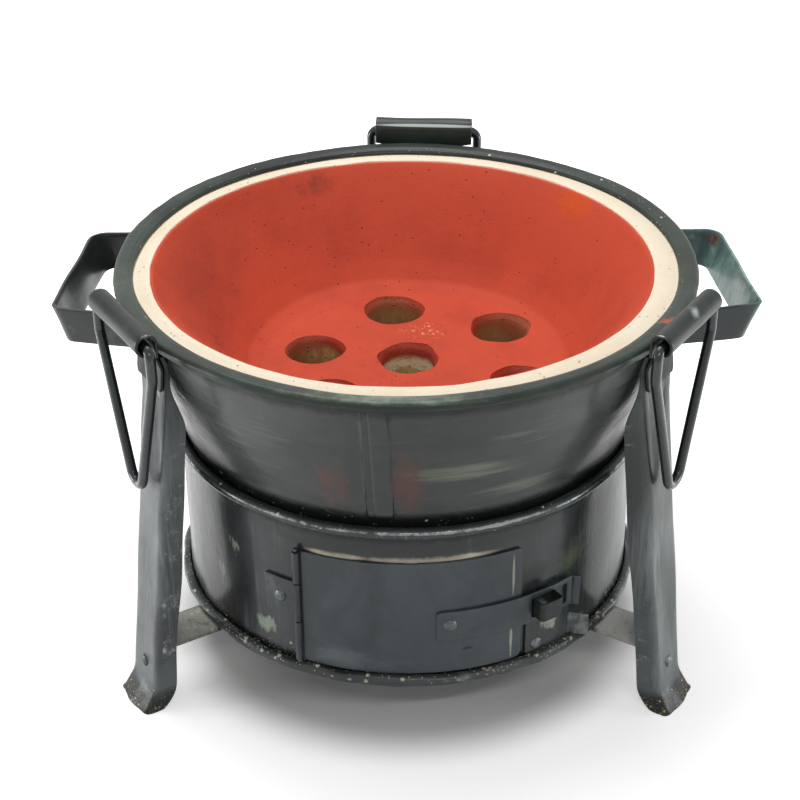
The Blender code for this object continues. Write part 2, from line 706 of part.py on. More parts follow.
# Clip: a tail over the leg's tongue, a step out round the hoop, and the rolled sleeve.
sleeve_inner = SLEEVE_AXIS_RADIUS - SLEEVE_RADIUS
clip_line = [
    (web_radius(CLIP_TAIL_HEIGHT, -GAP), CLIP_TAIL_HEIGHT),
    (cone_radius(LEG_KINK_HEIGHT, 2 * GAP + LEG_SHEET), LEG_KINK_HEIGHT),
    (cone_radius(LEG_TOP_HEIGHT, 2 * GAP + LEG_SHEET), LEG_TOP_HEIGHT),
    (sleeve_inner, LEG_TOP_HEIGHT + 0.0032),
    *arc((SLEEVE_AXIS_RADIUS, SLEEVE_AXIS_HEIGHT), SLEEVE_RADIUS, 180, -120, 10),
]
side_cut = SLEEVE_LENGTH / 2 - CLIP_TAIL_WIDTH / 2 + 0.002
shoulder_cuts = []
for side in (-1, 1):
    cut = upright_plate(
        f"shoulder_{side}",
        [
            (SLEEVE_AXIS_RADIUS - 0.030, CLIP_TAIL_HEIGHT - 0.004),
            (SLEEVE_AXIS_RADIUS + 0.010, CLIP_TAIL_HEIGHT - 0.004),
            (SLEEVE_AXIS_RADIUS + 0.010, CLIP_SHOULDER_HEIGHT),
            (SLEEVE_AXIS_RADIUS - 0.030, CLIP_SHOULDER_HEIGHT),
        ],
        side_cut,
    )
    cut.location.y = side * (CLIP_TAIL_WIDTH + side_cut) / 2
    shoulder_cuts.append(cut)
clip_mesh = shaped(
    "clip",
    upright_plate("clip_blank", strip(clip_line, -CLIP_SHEET), SLEEVE_LENGTH),
    removed=[*shoulder_cuts, rivet_hole("clip_hole", *top_rivet, reach=0.007)],
)

# Pot rest: one closed rod, straight inside the sleeve and tapering to a rounded tip.
tip_centre = Vector((0, -(ROD_LENGTH - ROD_RADIUS - ROD_TIP_RADIUS)))
shoulder = Vector((ROD_HALF_WIDTH, -ROD_STRAIGHT))
reach = shoulder - tip_centre
tip_angle = math.degrees(math.atan2(reach.y, reach.x) - math.acos(ROD_TIP_RADIUS / reach.length))
right_side = rounded(
    [
        (0, 0),
        (ROD_HALF_WIDTH, 0),
        shoulder,
        tip_centre + polar(ROD_TIP_RADIUS, tip_angle),
    ],
    ROD_CORNER_RADIUS,
)
tip = arc(tip_centre, ROD_TIP_RADIUS, tip_angle, -180 - tip_angle, 6)
left_side = [Vector((-p.x, p.y)) for p in right_side[1:-1]][::-1]
rod_points = right_side[:-1] + tip + left_side

strap_grip = LEG_SHEET + GAP + STRAP_SHEET
for place, azimuth in LEG_AZIMUTHS.items():
    add_part(f"leg_{place}", leg_mesh, PAINT_WORN, azimuth)
    add_part(f"base_strap_{place}", strap_mesh, STEEL_DULL, azimuth)
    add_part(f"pot_rest_clip_{place}", clip_mesh, PAINT, azimuth)
    top_grip = leaf_outward + SHELL_SHEET
    rivet(f"leg_top_rivet_{place}", *top_rivet, azimuth, top_grip)
    drill_cone(f"leg_top_{place}", *top_rivet, azimuth, top_grip)
    rivet(f"leg_foot_rivet_{place}", *foot_rivet, azimuth, strap_grip)
    rivet(f"base_rivet_{place}", *pan_rivet, azimuth, SHELL_SHEET + GAP + STRAP_SHEET)
    boolean(base_pan, rivet_hole(f"pan_hole_{place}", *pan_rivet, azimuth))
    curve = bpy.data.curves.new(f"pot_rest_rod_{place}", "CURVE")
    curve.dimensions = "3D"
    curve.bevel_depth = ROD_RADIUS
    curve.bevel_resolution = 2
    curve.use_fill_caps = True
    spline = curve.splines.new("POLY")
    spline.points.add(len(rod_points) - 1)
    for point, spot in zip(spline.points, rod_points):
        point.co = (0, spot.x, spot.y, 1)
    spline.use_cyclic_u = True
    rod = new_object(f"pot_rest_rod_{place}", curve)
    rod.location = (*polar(SLEEVE_AXIS_RADIUS, azimuth), ROD_AXIS_HEIGHT)
    rod.rotation_euler.z = math.radians(azimuth)
    finish(rod, DARK_IRON)

# Side handles: a flat strap bent in plan, leaning in by the cone's slope so its feet lie flat.
handle_middle = cone_radius(HANDLE_TOP, GAP) + HANDLE_SHEET / 2
handle_turn = [
    facet_point(handle_middle, HANDLE_FRONT_ROOT - HANDLE_FOOT_SPREAD),
    facet_point(handle_middle, HANDLE_FRONT_ROOT),
    Vector(HANDLE_FRONT_CORNER),
    Vector(HANDLE_REAR_CORNER),
    facet_point(handle_middle, HANDLE_REAR_ROOT),
    facet_point(handle_middle, HANDLE_REAR_ROOT + HANDLE_FOOT_SPREAD),
]
handle_line = offset_line(rounded(handle_turn, HANDLE_BEND_RADIUS), HANDLE_SHEET / 2)
handle_rivet_height = HANDLE_TOP - HANDLE_WIDTH / 2
handle_rivet_radius = cone_radius(handle_rivet_height, GAP) + HANDLE_SHEET
handle_grip = GAP + HANDLE_SHEET * CONE_COS + SHELL_SHEET
handle_spots = {
    "front": HANDLE_FRONT_ROOT - HANDLE_FOOT_SPREAD * 0.58,
    "rear": HANDLE_REAR_ROOT + HANDLE_FOOT_SPREAD * 0.58,
}
for side, sign in (("right", 1), ("left", -1)):
    line = [Vector((sign * p.x, p.y)) for p in handle_line]
    blank = level_plate(
        f"handle_{side}",
        strip(line, -sign * HANDLE_SHEET),
        HANDLE_TOP - HANDLE_WIDTH,
        HANDLE_TOP,
    )
    mesh = baked(blank)
    for vertex in mesh.vertices:
        flat = Vector((vertex.co.x, vertex.co.y))
        lean = CONE_SLOPE * (HANDLE_TOP - vertex.co.z)
        flat *= 1 - lean / flat.length
        vertex.co = (flat.x, flat.y, vertex.co.z)
    handle = finish(new_object(f"side_handle_{side}", mesh), PAINT_WORN)
    for end, spot in handle_spots.items():
        azimuth = spot if sign > 0 else 180 - spot
        name = f"handle_rivet_{side}_{end}"
        spec = (handle_rivet_radius, handle_rivet_height, CONE_TILT, azimuth)
        rivet(name, *spec, handle_grip)
        drill_cone(name, *spec, handle_grip)
        boolean(handle, rivet_hole(name + "_strap", *spec, reach=0.006))

# Door: a curved panel with a rolled barrel, notched for the fixed knuckle.
hinge_spot = polar(HINGE_RADIUS, HINGE_AZIMUTH)
hinge_low = (DOOR_BOTTOM + DOOR_TOP) / 2


def hinge_bar(name, radius, bottom, top):
    return cylinder(name, (*hinge_spot, (bottom + top) / 2), (0, 0, 1), radius, top - bottom)


def degrees_for(length, radius):
    return math.degrees(length / radius)


notch_end = HINGE_AZIMUTH + degrees_for(KNUCKLE_RADIUS + KNUCKLE_END_CLEARANCE, HINGE_RADIUS)
notch_start = HINGE_AZIMUTH - degrees_for(2 * KNUCKLE_RADIUS, HINGE_RADIUS)
hasp_rivet_spot = (PANEL_OUTER + GAP + HASP_SHEET, HASP_RIVET[1], 0.0, HASP_RIVET[0])
panel_start = HINGE_AZIMUTH + degrees_for(0.1 * KNUCKLE_RADIUS, HINGE_RADIUS)
door_mesh = shaped(
    "door",
    sector("panel", PANEL_INNER, PANEL_OUTER, panel_start, DOOR_END_AZIMUTH, DOOR_BOTTOM, DOOR_TOP),
    joined=[hinge_bar("barrel", KNUCKLE_RADIUS, DOOR_BOTTOM + 0.0005, DOOR_TOP - 0.0005)],
    removed=[
        sector(
            "notch",
            HINGE_RADIUS - 3 * KNUCKLE_RADIUS,
            HINGE_RADIUS + 3 * KNUCKLE_RADIUS,
            notch_start,
            notch_end,
            KNUCKLE_BOTTOM - KNUCKLE_END_CLEARANCE,
            KNUCKLE_TOP + KNUCKLE_END_CLEARANCE,
        ),
        hinge_bar("bore", BORE_RADIUS, DOOR_BOTTOM - 0.002, DOOR_TOP + 0.002),
        rivet_hole("door_hole", *hasp_rivet_spot, reach=0.006),
    ],
)
door = add_part("door", door_mesh, PAINT)

strap_mesh = shaped(
    "hinge_strap",
    sector(
        "hinge_leaf",
        PANEL_INNER,
        PANEL_OUTER,
        HINGE_STRAP_AZIMUTH,
        HINGE_AZIMUTH - degrees_for(0.1 * KNUCKLE_RADIUS, HINGE_RADIUS),
        KNUCKLE_BOTTOM + 0.0005,
        KNUCKLE_TOP - 0.0005,
    ),
    joined=[hinge_bar("knuckle", KNUCKLE_RADIUS, KNUCKLE_BOTTOM, KNUCKLE_TOP)],
    removed=[
        hinge_bar("knuckle_bore", BORE_RADIUS, KNUCKLE_BOTTOM - 0.002, KNUCKLE_TOP + 0.002),
        rivet_hole("leaf_hole", PANEL_OUTER, HINGE_RIVET[1], 0.0, HINGE_RIVET[0], reach=0.006),
    ],
)
add_part("hinge_strap", strap_mesh, PAINT)
pin = hinge_bar("hinge_pin", PIN_RADIUS, PIN_BOTTOM, PIN_TOP)
add_part("hinge_pin", baked(pin), DARK_IRON)
rivet("hinge_strap_rivet", PANEL_OUTER, HINGE_RIVET[1], 0.0, HINGE_RIVET[0], DOOR_SHEET + GAP + SHELL_SHEET)
boolean(lower_shell, rivet_hole("hinge_shell_hole", PANEL_OUTER, HINGE_RIVET[1], 0.0, HINGE_RIVET[0]))

# Hasp: a strap on the door with a turned-out end and a slot that passes over the staple.
hasp_inner = PANEL_OUTER + GAP
hasp_line = facet_arc(hasp_inner, *HASP_AZIMUTHS)
hasp_line.append(hasp_line[-1] + polar(HASP_LIP, HASP_AZIMUTHS[1] + 40))
slot_start = STAPLE_AZIMUTH - degrees_for(STAPLE_WIDTH / 2 + SLOT_SIDE_BEFORE, hasp_inner)
slot_end = STAPLE_AZIMUTH + degrees_for(STAPLE_WIDTH / 2 + SLOT_SIDE_AFTER, hasp_inner)
hasp_mesh = shaped(
    "door_hasp",
    level_plate("hasp_blank", strip(hasp_line, -HASP_SHEET), HASP_BOTTOM, HASP_TOP),
    removed=[
        sector(
            "hasp_slot",
            hasp_inner - 6 * HASP_SHEET,
            hasp_inner + 6 * HASP_SHEET,
            slot_start,
            slot_end,
            STAPLE_BOTTOM - SLOT_CLEARANCE,
            STAPLE_TOP + SLOT_CLEARANCE,
        ),
        rivet_hole("hasp_hole", *hasp_rivet_spot, reach=0.006),
    ],
)
hasp = add_part("door_hasp", hasp_mesh, PAINT)
hasp_pin = rivet("hasp_rivet", *hasp_rivet_spot, HASP_SHEET + GAP + DOOR_SHEET)

# Staple: a loop of sheet on a foot plate, whose end is bent outwards as a tab.
foot_outer = PANEL_INNER + STAPLE_SHEET
loop_inner = PANEL_INNER + STAPLE_SHEET / 2
loop_outer = DRUM_RADIUS + STAPLE_REACH
half = STAPLE_WIDTH / 2
loop_line = [(loop_inner, -half), (loop_outer, -half), (loop_outer, half), (loop_inner, half)]
tab_inner = PANEL_INNER + STAPLE_SHEET / 8
tab_line = facet_arc(tab_inner, STAPLE_FOOT_AZIMUTHS[1] - 0.6, STAPLE_FOOT_AZIMUTHS[1] + 0.2)
tab_line.append(tab_line[-1] + polar(STAPLE_TAB_LENGTH, STAPLE_TAB_AZIMUTH))
staple_mesh = shaped(
    "hasp_staple",
    sector(
        "staple_foot",
        PANEL_INNER,
        foot_outer,
        *STAPLE_FOOT_AZIMUTHS,
        STAPLE_FOOT_BOTTOM,
        STAPLE_TOP + STAPLE_FOOT_RISE,
    ),
    joined=[
        level_plate("staple_loop", strip(loop_line, STAPLE_SHEET), STAPLE_BOTTOM, STAPLE_TOP, STAPLE_AZIMUTH),
        level_plate("staple_tab", strip(tab_line, -STAPLE_SHEET), STAPLE_TAB_BOTTOM, STAPLE_TAB_TOP),
    ],
    removed=[rivet_hole("staple_hole", foot_outer, STAPLE_RIVET[1], 0.0, STAPLE_RIVET[0], reach=0.006)],
)
add_part("hasp_staple", staple_mesh, PAINT)
rivet("staple_rivet", foot_outer, STAPLE_RIVET[1], 0.0, STAPLE_RIVET[0], STAPLE_SHEET + GAP + SHELL_SHEET)
boolean(lower_shell, rivet_hole("staple_shell_hole", foot_outer, STAPLE_RIVET[1], 0.0, STAPLE_RIVET[0]))

# The door, its hasp and the hasp's rivet turn about the hinge axis.
hinge_origin = (*hinge_spot, hinge_low)
move_origin(door, hinge_origin)
bpy.context.view_layer.update()
for rider in (hasp, hasp_pin):
    rider.parent = door
    rider.matrix_parent_inverse = door.matrix_world.inverted()

# Everything hangs on one empty, which centres the stove's outline over the origin.
base = bpy.data.objects.new("stove_frame", None)
stove_parts.objects.link(base)
for obj in list(stove_parts.objects) + list(cutters.objects):
    if obj.parent is None and obj is not base:
        obj.parent = base
bpy.context.view_layer.update()
graph = bpy.context.evaluated_depsgraph_get()
low, high = Vector((1, 1, 1)), Vector((-1, -1, -1))
for obj in stove_parts.objects:
    if obj.type == "EMPTY":
        continue
    evaluated = obj.evaluated_get(graph)
    mesh = evaluated.to_mesh()
    for vertex in mesh.vertices:
        place = obj.matrix_world @ vertex.co
        low = Vector(map(min, low, place))
        high = Vector(map(max, high, place))
    evaluated.to_mesh_clear()
base.location = (-(low.x + high.x) / 2, -(low.y + high.y) / 2, -low.z)
bpy.context.view_layer.update()
print("stove frame shifted by", tuple(round(v, 6) for v in base.location))
print("overall size", tuple(round(v, 4) for v in high - low))
print("door hinge", tuple(round(v, 6) for v in door.matrix_world.translation))
for place in LEG_AZIMUTHS:
    rod = bpy.data.objects[f"pot_rest_rod_{place}"]
    print("pot rest", place, tuple(round(v, 6) for v in rod.matrix_world.translation))
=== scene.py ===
# %% [markdown]
# # A portable charcoal stove
# The stove is a sheet-metal bucket on three folded legs, with a red clay fire bowl set in
# cream cement. The plain solids of every part come in first, already in their right places.
# Each visible part then gets a finer skin, worked out with numpy in the same coordinates, so
# nothing has to be fitted by eye afterwards.

# %% Load the solids
import math
import bmesh
import bpy
import numpy as np
from mathutils import Matrix, Vector


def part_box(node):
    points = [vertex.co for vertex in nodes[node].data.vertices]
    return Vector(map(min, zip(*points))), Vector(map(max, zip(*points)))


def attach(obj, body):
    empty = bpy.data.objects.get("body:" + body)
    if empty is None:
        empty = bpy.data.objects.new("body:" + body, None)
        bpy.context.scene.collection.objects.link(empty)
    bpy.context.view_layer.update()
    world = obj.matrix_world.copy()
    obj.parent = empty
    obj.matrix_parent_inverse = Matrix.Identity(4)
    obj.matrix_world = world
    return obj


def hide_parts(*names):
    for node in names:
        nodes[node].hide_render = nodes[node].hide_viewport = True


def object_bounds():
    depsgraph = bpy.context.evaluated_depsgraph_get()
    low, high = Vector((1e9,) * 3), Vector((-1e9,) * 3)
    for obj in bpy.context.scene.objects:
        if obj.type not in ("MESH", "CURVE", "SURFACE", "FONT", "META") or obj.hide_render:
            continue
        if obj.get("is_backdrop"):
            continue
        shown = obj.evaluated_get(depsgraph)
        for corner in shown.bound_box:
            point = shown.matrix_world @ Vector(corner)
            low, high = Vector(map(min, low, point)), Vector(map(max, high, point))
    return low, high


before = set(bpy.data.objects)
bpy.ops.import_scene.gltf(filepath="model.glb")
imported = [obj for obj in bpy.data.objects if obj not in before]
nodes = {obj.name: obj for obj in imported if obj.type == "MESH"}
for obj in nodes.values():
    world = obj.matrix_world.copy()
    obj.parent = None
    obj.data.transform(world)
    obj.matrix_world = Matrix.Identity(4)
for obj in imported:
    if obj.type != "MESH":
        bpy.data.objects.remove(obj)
cad_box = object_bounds()
low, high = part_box("rim_hoop")
AXIS = np.array([(low.x + high.x) / 2, (low.y + high.y) / 2, 0.0])
MM = 0.001
print("stove axis at", AXIS, "solids:", len(nodes))

# %% [markdown]
# ## Photographing it
# The camera comes before the shapes, because every later look at the stove goes through it.
# The ovals of five rings, from the hoop down to the bottom plate, give its height and distance:
# it looks down by about 33 degrees from a metre away, through a long lens that hardly bends the
# verticals. The small shift puts the stove where the frame has it without tilting it further.

# %% Camera
def link(name, data):
    """Puts a new object into the scene."""
    obj = bpy.data.objects.new(name, data)
    bpy.context.scene.collection.objects.link(obj)
    return obj


def facing(place, target):
    """The matrix of something that stands at a place and looks at a target."""
    turn = Vector(target - place).to_track_quat("-Z", "Y").to_matrix().to_4x4()
    return Matrix.Translation(Vector(place)) @ turn


TARGET = AXIS + np.array([0, 0, 0.090])
TILT, ROLL, DISTANCE = math.radians(32.6), math.radians(-0.34), 1.029
place = TARGET + DISTANCE * np.array([0, -math.cos(TILT), math.sin(TILT)])
camera_data = bpy.data.cameras.new("camera")
camera_data.lens = 83.8
camera_data.shift_x, camera_data.shift_y = -0.009, 0.0855
camera = link("camera", camera_data)
camera.matrix_world = facing(place, TARGET) @ Matrix.Rotation(ROLL, 4, "Z")
bpy.context.scene.camera = camera
print("camera", [round(v, 3) for v in place])

# %% [markdown]
# ## Meshes from arrays
# Almost everything here is a tube, a ribbon or a turned shell, so one helper is enough: it takes
# a grid of points with rows along the piece and columns round it, and joins the neighbours with
# four-sided faces. Working on whole arrays keeps the formulas short, and makes it easy to dent a
# shape later by adding a function to it. The volume is measured to see which way the faces point.

# %% A skin from a grid of points
def smooth(mesh, sharp=35):
    mesh.shade_smooth()
    mesh.set_sharp_from_angle(angle=math.radians(sharp))


def skin(name, grid, loop=False, sharp=35, caps=None):
    """Rows run along the piece and are closed; loop joins the last row to the first. Otherwise
    a fan of faces to the middle of each end row closes it, or the faces given as caps, which are
    numbers of columns in that row."""
    rows, cols = grid.shape[:2]
    points = grid.reshape(-1, 3)
    index = np.arange(rows * cols).reshape(rows, cols)
    wide = np.hstack([index, index[:, :1]])
    tall = np.vstack([wide, wide[:1]]) if loop else wide
    faces = xyz(tall[:-1, :-1], tall[:-1, 1:], tall[1:, 1:], tall[1:, :-1]).reshape(-1, 4).tolist()
    if caps is not None:
        faces += caps + [tuple(i + (rows - 1) * cols for i in face) for face in caps]
    elif not loop:
        points = np.vstack([points, grid[0].mean(0), grid[-1].mean(0)])
        faces += xyz(wide[0, 1:], wide[0, :-1], rows * cols).tolist()
        faces += xyz(wide[-1, :-1], wide[-1, 1:], rows * cols + 1).tolist()
    mesh = bpy.data.meshes.new(name)
    mesh.from_pydata(points.tolist(), [], faces)
    shape = bmesh.new()
    shape.from_mesh(mesh)
    bmesh.ops.remove_doubles(shape, verts=shape.verts, dist=1e-7)
    bmesh.ops.recalc_face_normals(shape, faces=shape.faces)
    if shape.calc_volume(signed=True) < 0:
        bmesh.ops.reverse_faces(shape, faces=shape.faces)
    shape.to_mesh(mesh)
    shape.free()
    smooth(mesh, sharp)
    return link(name, mesh)


def xyz(*parts):
    """Arrays of coordinates, or of numbers of points, side by side as the last axis."""
    return np.stack(np.broadcast_arrays(*parts), -1)


def unit(vectors):
    """The same directions with a length of 1."""
    vectors = np.asarray(vectors, float)
    return vectors / np.linalg.norm(vectors, axis=-1)[..., None]


def polar(radius, azimuth, height=0.0):
    """Points at radius r, azimuth a in degrees and height z, measured from the stove's axis."""
    a = np.radians(azimuth)
    return xyz(radius * np.cos(a), radius * np.sin(a), height) + AXIS


def step(value, edge0, edge1):
    """Smooth ramp from 0 at the first edge to 1 at the second: 3t^2 - 2t^3."""
    t = np.clip((value - edge0) / (edge1 - edge0), 0, 1)
    return t * t * (3 - 2 * t)


def bump(value, middle, width):
    """Bell curve exp(-d^2) of the distance from the middle in widths."""
    return np.exp(-(((value - middle) / width) ** 2))


def wander(angle, seed, low=2, high=9):
    """Periodic waviness round the axis: a sum of sines whose height falls as they get shorter."""
    random = np.random.RandomState(seed)
    total = np.zeros_like(np.asarray(angle, float))
    for n in range(low, high + 1):
        total = total + random.normal() / n * np.sin(n * np.radians(angle) + random.uniform(0, 6.28))
    return total


def ripple(azimuth, z, seed, short=14, rise=60.0):
    """A sum of sines in azimuth and height with whole waves round the axis, mostly within -1 to 1."""
    random = np.random.RandomState(seed)
    total = 0.0
    for n in range(7):
        turns = random.randint(2, short)
        slant, phase = random.uniform(-rise, rise), random.uniform(0, 6.28)
        total = total + np.sin(turns * np.radians(azimuth) + slant * z + phase) / 3.2
    return total


def apart(azimuth, middle):
    """Signed difference of two azimuths, between -180 and 180 degrees."""
    return (np.asarray(azimuth) - middle + 180) % 360 - 180


# %% Lines with rounded corners
def fillet(points, radius, pieces=4, gap=None, closed=False):
    """Each corner of a line is replaced by an arc that touches both of its sides. With a gap, the
    line gets extra points as in spaced."""
    points = np.asarray(points, float)
    count = len(points)
    radii = np.broadcast_to(radius, count)
    line = []
    for n, corner in enumerate(points):
        one, two = points[n - 1] - corner, points[(n + 1) % count] - corner
        len_one, len_two = np.linalg.norm(one), np.linalg.norm(two)
        one, two = one / len_one, two / len_two
        half = math.acos(np.clip(one @ two, -1, 1)) / 2
        if (not closed and n in (0, count - 1)) or half > 1.55 or radii[n] <= 0:
            line.append(corner[None])
            continue
        reach = min(radii[n] / math.tan(half), 0.49 * len_one, 0.49 * len_two)
        t = np.linspace(0, 1, pieces + 1)[:, None]
        weight = 2 * t * (1 - t) * math.sin(half)
        top = (1 - t) ** 2 * (corner + one * reach) + weight * corner + t**2 * (corner + two * reach)
        line.append(top / ((1 - t) ** 2 + weight + t**2))
    line = np.vstack(line)
    return spaced(line, gap, closed) if gap else line


def arc(centre, radius, start, end, count):
    """Points on a circle between two angles in degrees."""
    b = np.radians(np.linspace(start, end, count))
    return xyz(centre[0] + radius * np.cos(b), centre[1] + radius * np.sin(b))


def spaced(line, gap, closed=False):
    """The same line with extra points, so that no two neighbours lie further apart than the gap."""
    line = np.asarray(line, float)
    whole = np.vstack([line, line[:1]]) if closed else line
    run = np.concatenate([[0], np.cumsum(np.linalg.norm(np.diff(whole, axis=0), axis=1))])
    extra = np.linspace(0, run[-1], int(run[-1] / gap) + 2)
    near = np.abs(extra[:, None] - run[None]).min(1) < gap * 0.35
    at = np.unique(np.concatenate([run, extra[~near]]))
    result = xyz(*(np.interp(at, run, column) for column in whole.T))
    return result[:-1] if closed else result


def directions(path, closed=False):
    """Unit tangents of a line of points."""
    return unit(np.roll(path, -1, 0) - np.roll(path, 1, 0) if closed else np.gradient(path, axis=0))


def normals(line):
    """Unit normals of a flat line, to the right of its way."""
    run = directions(line)
    return xyz(run[:, 1], -run[:, 0])


def sheet_line(line, near, far, gap=0.003):
    """Outline of a sheet of metal drawn along a line, with its faces at two distances from it."""
    line = np.asarray(line, float)
    side = normals(line)
    return spaced(np.vstack([line + side * near, (line + side * far)[::-1]]), gap, closed=True)


# %% Turned shells, ribbons and tubes
def turned(name, outline, azimuths, push, sharp=35):
    """Each point (r, z) of the outline goes round the axis: (r cos a, r sin a, z). push(a, r, z)
    gives small changes of r and z that depend on the azimuth, such as dents."""
    angle = np.linspace(0, 360, azimuths, endpoint=False) if np.isscalar(azimuths) else azimuths
    a = np.asarray(angle)[:, None]
    r, z = (np.broadcast_to(column, (len(a), len(outline))) for column in outline.T)
    dr, dz = push(a, r, z)
    return skin(name, polar(r + dr, a, z + dz), loop=True, sharp=sharp)


def ribbon(name, path, across, width, thickness, edge=None, lift=None, fine=9):
    """A flat strap carried along a path. Its section is a rectangle with rounded long edges:
    x runs across the strap, y along its normal. lift(t, x) adds a height, for dents and crowns."""
    path = np.asarray(path, float)
    across = unit(np.broadcast_to(across, path.shape))
    normal = unit(np.cross(directions(path), across))
    edge = thickness * 0.45 if edge is None else edge
    qx, qy = arc((0, 0), edge, 90, 0, 4).T
    ends = np.broadcast_to(np.asarray(width, float) / 2, len(path))[:, None] - edge
    flat_x = np.linspace(-1, 1, fine)[None, :] * ends
    top_y = np.full_like(flat_x, thickness / 2)
    right_x = ends + np.concatenate([qx[1:], qx[::-1][1:]])[None]
    right_y = np.concatenate([thickness / 2 - edge + qy[1:], -(thickness / 2 - edge) - qy[::-1][1:]])
    right_y = np.broadcast_to(right_y, right_x.shape)
    x = np.hstack([flat_x, right_x, flat_x[:, ::-1][:, 1:], -right_x[:, :-1]])
    y = np.hstack([top_y, right_y, -top_y[:, 1:], -right_y[:, :-1]])
    if lift is not None:
        y = y + lift(np.linspace(0, 1, len(path))[:, None], x)
    return skin(name, path[:, None] + across[:, None] * x[..., None] + normal[:, None] * y[..., None])


def tube(name, path, radius, sides, wobble, seed):
    """A round rod along a closed path: path + radius (cos b * u + sin b * v), with u, v square to
    it. The path lies in a plane, so v is that plane's normal all along and nothing twists."""
    flat = unit(np.cross(path[len(path) // 3] - path[0], path[2 * len(path) // 3] - path[0]))
    u = np.cross(directions(path, closed=True), flat)
    b = np.linspace(0, 2 * np.pi, sides, endpoint=False)[None, :, None]
    along = np.arange(len(path)) / len(path) * 360
    thick = radius * (1 + wobble * wander(along, seed, 3, 14))[:, None, None]
    round_it = thick * (np.cos(b) * u[:, None] + np.sin(b) * flat)
    return skin(name, path[:, None] + round_it, loop=True, sharp=60)


def solid_round(name, outline, centre, axis, sides):
    """An outline (r, h) turned about its own axis, which starts at the centre."""
    axis = unit(axis)
    other = unit(np.cross(axis, [0.0, 0, 1] if abs(axis[2]) < 0.9 else [1.0, 0, 0]))
    third = np.cross(axis, other)
    b = np.linspace(0, 2 * np.pi, sides, endpoint=False)[:, None, None]
    r, h = outline[None, :, :1], outline[None, :, 1:]
    grid = np.asarray(centre) + h * axis + r * (np.cos(b) * other + np.sin(b) * third)
    return skin(name, grid.transpose(1, 0, 2), sharp=40)


# %% Read, move and cut points
def points_of(obj):
    co = np.empty(len(obj.data.vertices) * 3)
    obj.data.vertices.foreach_get("co", co)
    return co.reshape(-1, 3)


def move(obj, points):
    """Puts the points of a mesh in new places."""
    obj.data.vertices.foreach_set("co", points.ravel())
    obj.data.update()


def places(obj):
    """Azimuth in degrees, radius and height of every point, seen from the stove's axis."""
    x, y, z = (points_of(obj) - AXIS).T
    return np.degrees(np.arctan2(y, x)) % 360, np.hypot(x, y), z


def carve(obj, *tools):
    """Cuts the tools from the object and keeps the result as plain mesh."""
    for tool in tools:
        cut = obj.modifiers.new(tool.name, "BOOLEAN")
        cut.operation, cut.solver, cut.object = "DIFFERENCE", "EXACT", tool
        cut.material_mode = "TRANSFER"
    bpy.context.view_layer.update()
    graph = bpy.context.evaluated_depsgraph_get()
    mesh = bpy.data.meshes.new_from_object(obj.evaluated_get(graph))
    obj.modifiers.clear()
    old, obj.data = obj.data, mesh
    bpy.data.meshes.remove(old)
    for tool in tools:
        bpy.data.objects.remove(tool, do_unlink=True)
    smooth(mesh)


# %% [markdown]
# ## Marks that follow a surface
# Wear collects along edges and dirt in corners; corners, creases and the undersides of parts also
# get painted shade, along with some grime. A number kept on every point of the mesh, called
# an attribute, tells the material where those are, and it stays with the surface whichever way
# the stove is turned.

# %% Marks, material, body and solid
def dress(piece, material, solid, slot="dark_green_paint", body="stove", **marks):
    """Gives a piece its marks and material and the body that carries it, and hides the solid it stands for.
    Each mark holds a value for every point, and a material reads it as an attribute."""
    for name, values in marks.items():
        layer = piece.data.attributes.new(name, "FLOAT", "POINT")
        values = np.broadcast_to(values, len(piece.data.vertices))
        layer.data.foreach_set("value", values.astype(np.float32))
    if material is not None:
        piece.data.materials.clear()
        piece.data.materials.append(material)
    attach(piece, body)
    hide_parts(solid)
    print(piece.name, len(piece.data.polygons), "faces")


# %% [markdown]
# ## Paint, dirt and wear as node groups
# The same few effects come back in every finish: dry brush marks, spatter, smears of another
# colour, scraped edges and small dents. Each is built once as a group of shader nodes with its
# own sliders, and gives a mask or a height. The shader itself stays in each material, where its
# roughness and colours are easy to find.

# %% Short ways to add nodes
class Value:
    """What a node gives out. Values add, subtract and multiply as numbers do, with Math nodes."""

    def __init__(self, socket):
        self.socket, self.tree = socket, socket.id_data

    def maths(self, operation, one, two, clamp=False):
        return value(self.tree, "Math", {0: one, 1: two}, operation=operation, use_clamp=clamp)

    def __add__(self, other):
        return self.maths("ADD", self, other)

    def __sub__(self, other):
        return self.maths("SUBTRACT", self, other)

    def __rsub__(self, other):
        return self.maths("SUBTRACT", other, self)

    def __mul__(self, other):
        return self.maths("MULTIPLY", self, other)


def feed(given, socket):
    """Puts a number or a colour into a node's input, or links a value to it."""
    if isinstance(given, Value):
        given.tree.links.new(given.socket, socket)
    else:
        socket.default_value = given


def node(tree, kind, inputs=None, **settings):
    """Adds a shader node. Its inputs are given by name or number."""
    made = tree.nodes.new("ShaderNode" + kind)
    for key, setting in settings.items():
        setattr(made, key, setting)
    for key, given in (inputs or {}).items():
        feed(given, made.inputs[key])
    return made


def value(tree, kind, inputs=None, gives=0, **settings):
    return Value(node(tree, kind, inputs, **settings).outputs[gives])


def vector(operation, one, two=(0, 0, 0), gives=0):
    return value(one.tree, "VectorMath", {0: one, 1: two}, gives, operation=operation)


def larger(one, two):
    return one.maths("MAXIMUM", one, two)


def ramp(level, low, high):
    """0 below the low value, 1 above the high one and a smooth step between them."""
    return value(level.tree, "MapRange", {"Value": level, "From Min": low, "From Max": high}, "Result",
                 interpolation_type="SMOOTHSTEP")


def noise(where, scale, detail=3.0, roughness=0.55, distortion=0.0):
    return value(where.tree, "TexNoise", {"Vector": where, "Scale": scale, "Detail": detail,
                                          "Roughness": roughness, "Distortion": distortion}, "Fac")


